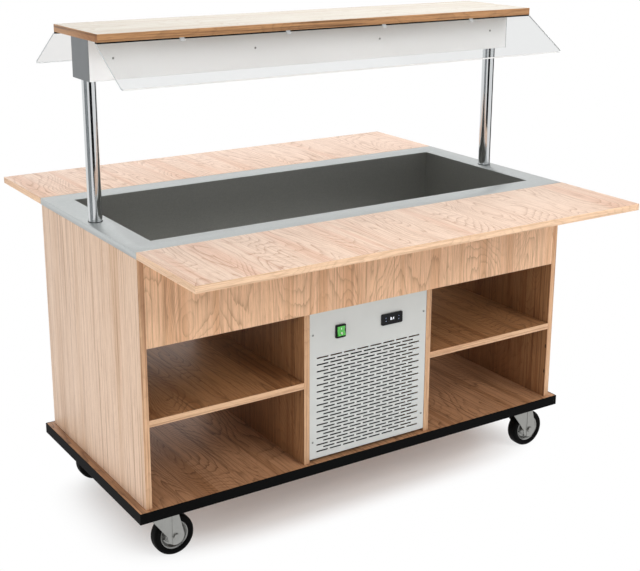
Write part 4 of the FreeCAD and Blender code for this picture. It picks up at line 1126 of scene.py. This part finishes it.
# ---- canopy
@dataclass
class Canopy:
    """Posts, board, lamp housing, guards and their fittings."""

    top: Tones = ("cecbc2", "c8c1b6", "a8917a")
    edge: Tones = ("bd8e63", "92613c", "3f2410")
    post_steps: int = 64
    seal_wide: float = 1.2 * MM
    seal_high: float = 1.6 * MM
    sheet: float = 1.5 * MM
    lip: float = 12.0 * MM
    bend: float = 1.1 * MM

    def make(self) -> None:
        """Build and dress the canopy."""
        Board("canopy_board", Axis.Z, Axis.X, self.top, self.edge, 41.0, figure=0.8, lines=1.3).make()
        self.posts()
        self.housing()
        dress(Pane("guard_pane"), "glass_front", "glass_back")
        dress(Coat("strip_black", "08090a", "0e0f10", 0.5, 900.0, shine=0.1), "glass_rails")
        dress(Coat("clip_plastic", "b2b4b4", "a6a8a8", 0.45, 900.0, shine=0.25), "glass_clips")

    def posts(self) -> None:
        """Two polished tubes with a dark sealing ring at the rim."""
        chrome = Chrome("post_polish").build()
        seal = Coat("post_seal", "2a2c2e", "3a3d40", 0.5).build()
        for side, _ in SIDES:
            low, high = (Vector(corner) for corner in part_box("post_" + side))
            radius = (high.x - low.x) / 2
            for kind, wider, top, look, nodes in (("tube", 0.0, high.z, chrome, ["post_" + side]),
                                                  ("seal", self.seal_wide, low.z + self.seal_high, seal, ())):
                form = rod_form(radius + wider, top - low.z, self.post_steps)
                middle = ((low.x + high.x) / 2, (low.y + high.y) / 2, (low.z + top) / 2)
                bmesh.ops.translate(form, vec=middle, verts=form.verts)
                finish(f"post_{kind}_{side}", form, [look], "cabinet", nodes, 40.0)

    def housing(self) -> None:
        """Lamp housing with bent edges, its end caps and the lamp."""
        low, high = (Vector(corner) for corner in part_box("light_housing"))
        sheet, lip = self.sheet, self.lip
        outline = [(low.y, low.z), (low.y, high.z), (high.y, high.z), (high.y, low.z),
                   (high.y - lip, low.z), (high.y - lip, low.z + sheet), (high.y - sheet, low.z + sheet),
                   (high.y - sheet, high.z - sheet), (low.y + sheet, high.z - sheet),
                   (low.y + sheet, low.z + sheet), (low.y + lip, low.z + sheet), (low.y + lip, low.z)]
        form = slab_form(outline, Axis.X, low.x, high.x)

        def is_bend(edge: bmesh.types.BMEdge) -> bool:
            """Pick the long outer edges of the fold.

            Args:
                edge: An edge of the fold.

            Returns:
                Whether it is one of them.
            """
            first, second = (vert.co for vert in edge.verts)
            is_long = abs(first.x - second.x) > (high.x - low.x) / 2
            return is_long and min(abs(first.y - low.y), abs(first.y - high.y)) < sheet / 2

        bevel(form, self.bend, 3, is_bend)
        white = Coat("housing_powder", "f6f6f6", "f3f3f3", 0.42, 1800.0, 0.01 * MM).build()
        finish("housing_fold", form, [white], "cabinet", ["light_housing"], 30.0)
        # The caps' steel tone is darker than the other steel: painted reflection of darker surroundings.
        dress(SatinSteel("cap_steel_dark_reflection", "85888a", "727577", Axis.Z, 0.42, 1.0, 14.0), "housing_caps")
        dress(Glow("diffuser_opal", "fbfbf5", 0.25), "lamp_diffuser")
        dress(Coat("lamp_tray_white", "ececea", "e2e2df", 0.45), "lamp_strip")


# ---- side boards
@dataclass
class SideBoards:
    """Fold-down boards and their brackets."""

    # Front and back tops are copies of one laminate; the back one is painted lighter, light that makes up for
    # the canopy's shadow.
    tops: tuple[Tones, Tones] = (("dbc3b0", "d5b49f", "966a4e"), ("e3cab8", "dcbba6", "966a4e"))
    edge: Tones = ("f0cdac", "e4ba96", "9c6d49")

    def make(self) -> None:
        """Build the boards and dress the brackets."""
        # Each top wears its own tone: the back one's lighter tone is painted light.
        for (face, sign), top in zip(FACES, self.tops):
            Board(face + "_board", Axis.Z, Axis.Y, top, self.edge, 52.0 + 3.9 * sign, body=face + "_board",
                  figure=1.15, lines=0.65).make()
        kinds = ("_bracket_legs", "_bracket_arms", "_struts")
        brackets = [face + kind for face, _ in FACES for kind in kinds]
        dress(SatinSteel("bracket_plating", "bcc0c3", "9da2a6", Axis.Y, 0.32, 1.0, 55.0), *brackets)


# ---- casters
@dataclass
class Casters:
    """Four swivel casters, each with a solid tyre on a pressed wheel, and their plates.

    Half sections are given as radius and offset from the wheel's middle, in millimetres.
    """

    tyre_half: Outline = (
        (43.0, 14.6), (45.5, 16.6), (47.5, 17.3), (49.0, 17.3), (49.6, 18.0), (53.5, 18.5), (57.0, 17.9),
        (60.2, 15.6), (62.0, 12.0), (62.5, 8.6), (62.5, 4.6), (62.1, 4.2), (62.1, 3.6), (62.5, 3.2))
    wheel_half: Outline = (
        (5.06, 21.8), (11.6, 21.8), (12.8, 20.8), (13.0, 8.0), (14.5, 5.4), (17.0, 4.2), (23.5, 3.6),
        (25.2, 4.9), (27.2, 4.9), (28.4, 3.6), (33.5, 4.6), (36.0, 8.6), (38.0, 12.2), (40.5, 14.0),
        (42.2, 15.2), (42.9, 15.0))
    steps: int = 72
    holes: int = 6
    hole_radius: float = 2.6 * MM
    hole_ring: float = 30.5 * MM
    hole_depth: float = 9.6 * MM
    hole_start: float = 0.35

    def make(self) -> None:
        """Build the wheels and dress the forks and plates."""
        forks = ["caster_fork_" + corner for corner in CORNERS]
        dress(SatinSteel("caster_plating", "a8a8a5", "888885", Axis.Z, 0.34, 1.0, 70.0),
              "caster_plates", *forks)
        disc = SatinSteel("wheel_plating", "a6a6a3", "777775", Axis.Y, 0.27, 1.0, 50.0).build()
        rubber = Rubber("tyre_black").build()
        # Dark plugs for the wheel's holes: painted shade seen through them.
        dark = Coat("wheel_hole_shade", "0b0b0c", "131314", 0.7).build()
        for corner in CORNERS:
            body = "wheel_" + corner
            low, high = (Vector(end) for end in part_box("tyre_" + corner))
            centre = (low + high) / 2
            finish("tyre_ring_" + corner, self.turned(self.tyre_half, centre), [rubber], body,
                   ["tyre_" + corner], 35.0)
            wheel = join([self.turned(self.wheel_half, centre), *self.hole_marks(centre)])
            finish("wheel_disc_" + corner, wheel, [disc, dark], body,
                   ["wheel_rim_" + corner], 28.0)

    def turned(self, half: Outline, centre: Vector) -> Form:
        """A ring whose section is half an outline and its mirror image.

        Args:
            half: Radius and offset of each corner, in millimetres.
            centre: Middle of the wheel.

        Returns:
            The ring.
        """
        corners = [*half, *((radius, -side) for radius, side in reversed(half))]
        return spin_form([mm(*corner) for corner in corners], tuple(centre), self.steps)

    def hole_marks(self, centre: Vector) -> list[Form]:
        """Short dark plugs, painted shade that reads as the wheel's small holes.

        Args:
            centre: Middle of the wheel.

        Returns:
            The plugs, as material 1.
        """
        marks = []
        for index in range(self.holes):
            angle = FULL_TURN * (index + self.hole_start) / self.holes
            spot = centre + Vector((math.cos(angle), 0, math.sin(angle))) * self.hole_ring
            form = rod_form(self.hole_radius, self.hole_depth, 20)
            bmesh.ops.rotate(form, cent=(0, 0, 0), matrix=Z_ONTO_Y, verts=form.verts)
            bmesh.ops.translate(form, vec=spot, verts=form.verts)
            for face in form.faces:
                face.material_index = 1
            marks.append(form)
        return marks


# ---- studio
def aimed(place: Point, level: float, ahead: str) -> Matrix:
    """Place and turn of something that looks at the bar's upright middle line.

    Args:
        place: Where it is.
        level: Height that it looks at.
        ahead: Its own axis that points there.

    Returns:
        Its matrix.
    """
    way = (Vector((0.0, 0.0, level)) - Vector(place)).normalized()
    return Matrix.Translation(place) @ way.to_track_quat(ahead, "Y").to_matrix().to_4x4()


@dataclass(frozen=True)
class Lamp:
    """One soft rectangular lamp, turned to the bar's middle."""

    name: str
    place: Point
    aim: float
    size: tuple[float, float]
    power: float

    def make(self) -> None:
        """Hang the lamp, unseen by the eye and by reflections."""
        data = bpy.data.lights.new(self.name, "AREA")
        data.shape = "RECTANGLE"
        data.size, data.size_y = self.size
        data.energy = self.power
        light = bpy.data.objects.new(self.name, data)
        light.matrix_world = aimed(self.place, self.aim, "-Z")
        light.visible_camera = light.visible_glossy = False
        bpy.context.scene.collection.objects.link(light)


@dataclass(frozen=True)
class Card:
    """One upright card that only reflections see, for the depth of polished metal."""

    name: str
    place: Point
    wide: float
    colour: str
    high: float = 3.2
    aim: float = 1.4

    def make(self) -> None:
        """Put up the card, turned to the bar's middle."""
        shader = Shader(self.name)
        weave = shader.calc("MULTIPLY", shader.cloud(60.0), 0.1)
        shader.set(Base_Color=shader.blend(weave, tint(self.colour), tint("5c5e60")), Roughness=0.9,
                   Specular_IOR_Level=0.0)
        form = bmesh.new()
        bmesh.ops.create_grid(form, x_segments=1, y_segments=1, size=0.5)
        bmesh.ops.scale(form, vec=(self.wide, self.high, 1.0), verts=form.verts)
        bmesh.ops.transform(form, matrix=aimed(self.place, self.aim, "Z"), verts=form.verts)
        card = put(self.name, form, [shader.material])
        for ray in ("camera", "diffuse", "shadow", "transmission", "volume_scatter"):
            setattr(card, "visible_" + ray, False)


@dataclass
class Studio:
    """Pale floor, soft lamps and the camera at the photograph's angle."""

    eye: Point = (-1.9948, -3.1388, 1.8354)
    ahead: Point = (0.52361638, 0.80644605, -0.27471923)
    upward: Point = (0.14611597, 0.23267306, 0.96151618)
    lens: float = 68.41
    shift: float = -0.0711
    sight: float = 60.0
    ambient: float = 0.37
    floor_radius: float = 16.0
    shade_stretch: Point = (0.4, 0.86, 1.0)
    shade_power: float = 4.0
    shade_stops: Stops = ((0.22, "656565"), (0.345, "ffffff"))
    lamps: tuple[Lamp, ...] = (
        Lamp("lamp_above", (0.4, 0.3, 4.2), 0.6, (4.0, 3.0), 98.0),
        Lamp("lamp_front", (1.0, -3.8, 3.6), 0.7, (3.0, 2.2), 124.0),
        Lamp("lamp_left", (-4.6, -0.8, 1.3), 0.6, (2.6, 1.8), 60.0),
        Lamp("lamp_back", (0.8, 4.6, 2.2), 0.6, (3.0, 2.0), 92.0),
        Lamp("lamp_right", (4.8, 0.8, 1.6), 0.6, (2.4, 1.8), 46.0),
    )
    cards: tuple[Card, ...] = (
        Card("card_front", (-0.9, -4.3, 1.4), 3.2, "0e0f10"),
        Card("card_right", (3.4, 0.2, 1.4), 2.4, "0e0f10"),
        Card("card_left", (-3.7, -0.4, 1.4), 3.2, "8d9193"),
    )

    def make(self) -> None:
        """Set up the stage."""
        self.camera()
        self.world()
        self.floor()
        for item in (*self.lamps, *self.cards):
            item.make()
        bpy.context.scene.view_settings.view_transform = "Standard"
        LOG.info("studio is ready")

    def camera(self) -> None:
        """Camera at the photograph's place."""
        data = bpy.data.cameras.new("photo_camera")
        data.lens = self.lens
        data.shift_y = self.shift
        data.clip_end = self.sight
        camera = bpy.data.objects.new("photo_camera", data)
        ahead, upward = Vector(self.ahead).normalized(), Vector(self.upward).normalized()
        right = ahead.cross(upward).normalized()
        turn = Matrix((right, right.cross(ahead), -ahead)).transposed()
        camera.matrix_world = Matrix.Translation(self.eye) @ turn.to_4x4()
        bpy.context.scene.collection.objects.link(camera)
        bpy.context.scene.camera = camera

    def world(self) -> None:
        """White surroundings for the eye and for reflections, softer ones for light."""
        world = bpy.data.worlds.new("studio_world")
        world.use_nodes = True
        graph = Graph(world.node_tree)
        sky = graph.add("ShaderNodeBackground")
        graph.feed(sky, "Color", WHITE)
        graph.feed(sky, "Strength", graph.between(graph.looked_at(), self.ambient, 1.0))
        graph.feed(graph.add("ShaderNodeOutputWorld"), "Surface", sky.outputs[0])
        bpy.context.scene.world = world

    def floor(self) -> None:
        """A wide pale floor that takes the shadow under the bar and turns white round it."""
        shader = Shader("floor_pale")
        shader.set(Base_Color=shader.blend(shader.cloud(3.0), tint("fbfbfa"), tint("f7f6f5")), Roughness=0.9,
                   Specular_IOR_Level=0.1)
        glow = shader.add("ShaderNodeEmission")
        shader.feed(glow, "Color", WHITE)
        shader.feed(glow, "Strength", 1.0)
        place = shader.split(shader.spread(self.shade_stretch))
        spans = [shader.calc("POWER", shader.calc("ABSOLUTE", place[index]), self.shade_power)
                 for index in (0, 1)]
        reach = shader.calc("POWER", shader.calc("ADD", *spans), 1.0 / self.shade_power)
        far = shader.ramp(reach, self.shade_stops, True)
        mix = shader.add("ShaderNodeMixShader")
        for socket, value in ((0, shader.calc("MULTIPLY", far, shader.looked_at())),
                              (1, shader.surface.outputs[0]), (2, glow.outputs[0])):
            shader.feed(mix, socket, value)
        shader.feed(shader.output, "Surface", mix.outputs[0])
        form = bmesh.new()
        bmesh.ops.create_circle(form, cap_ends=True, segments=96, radius=self.floor_radius)
        floor = put("floor", form, [shader.material])


def main() -> None:
    """Build the studio and every sub-assembly in order."""
    logging.basicConfig(level=logging.INFO, format="%(name)s: %(message)s")
    for part in (Studio(), Cabinet(), Well(), MachinePanel(), Canopy(), SideBoards(), Casters()):
        part.make()
        LOG.info("%s is done", type(part).__name__)


if __name__ == "__main__":
    main()
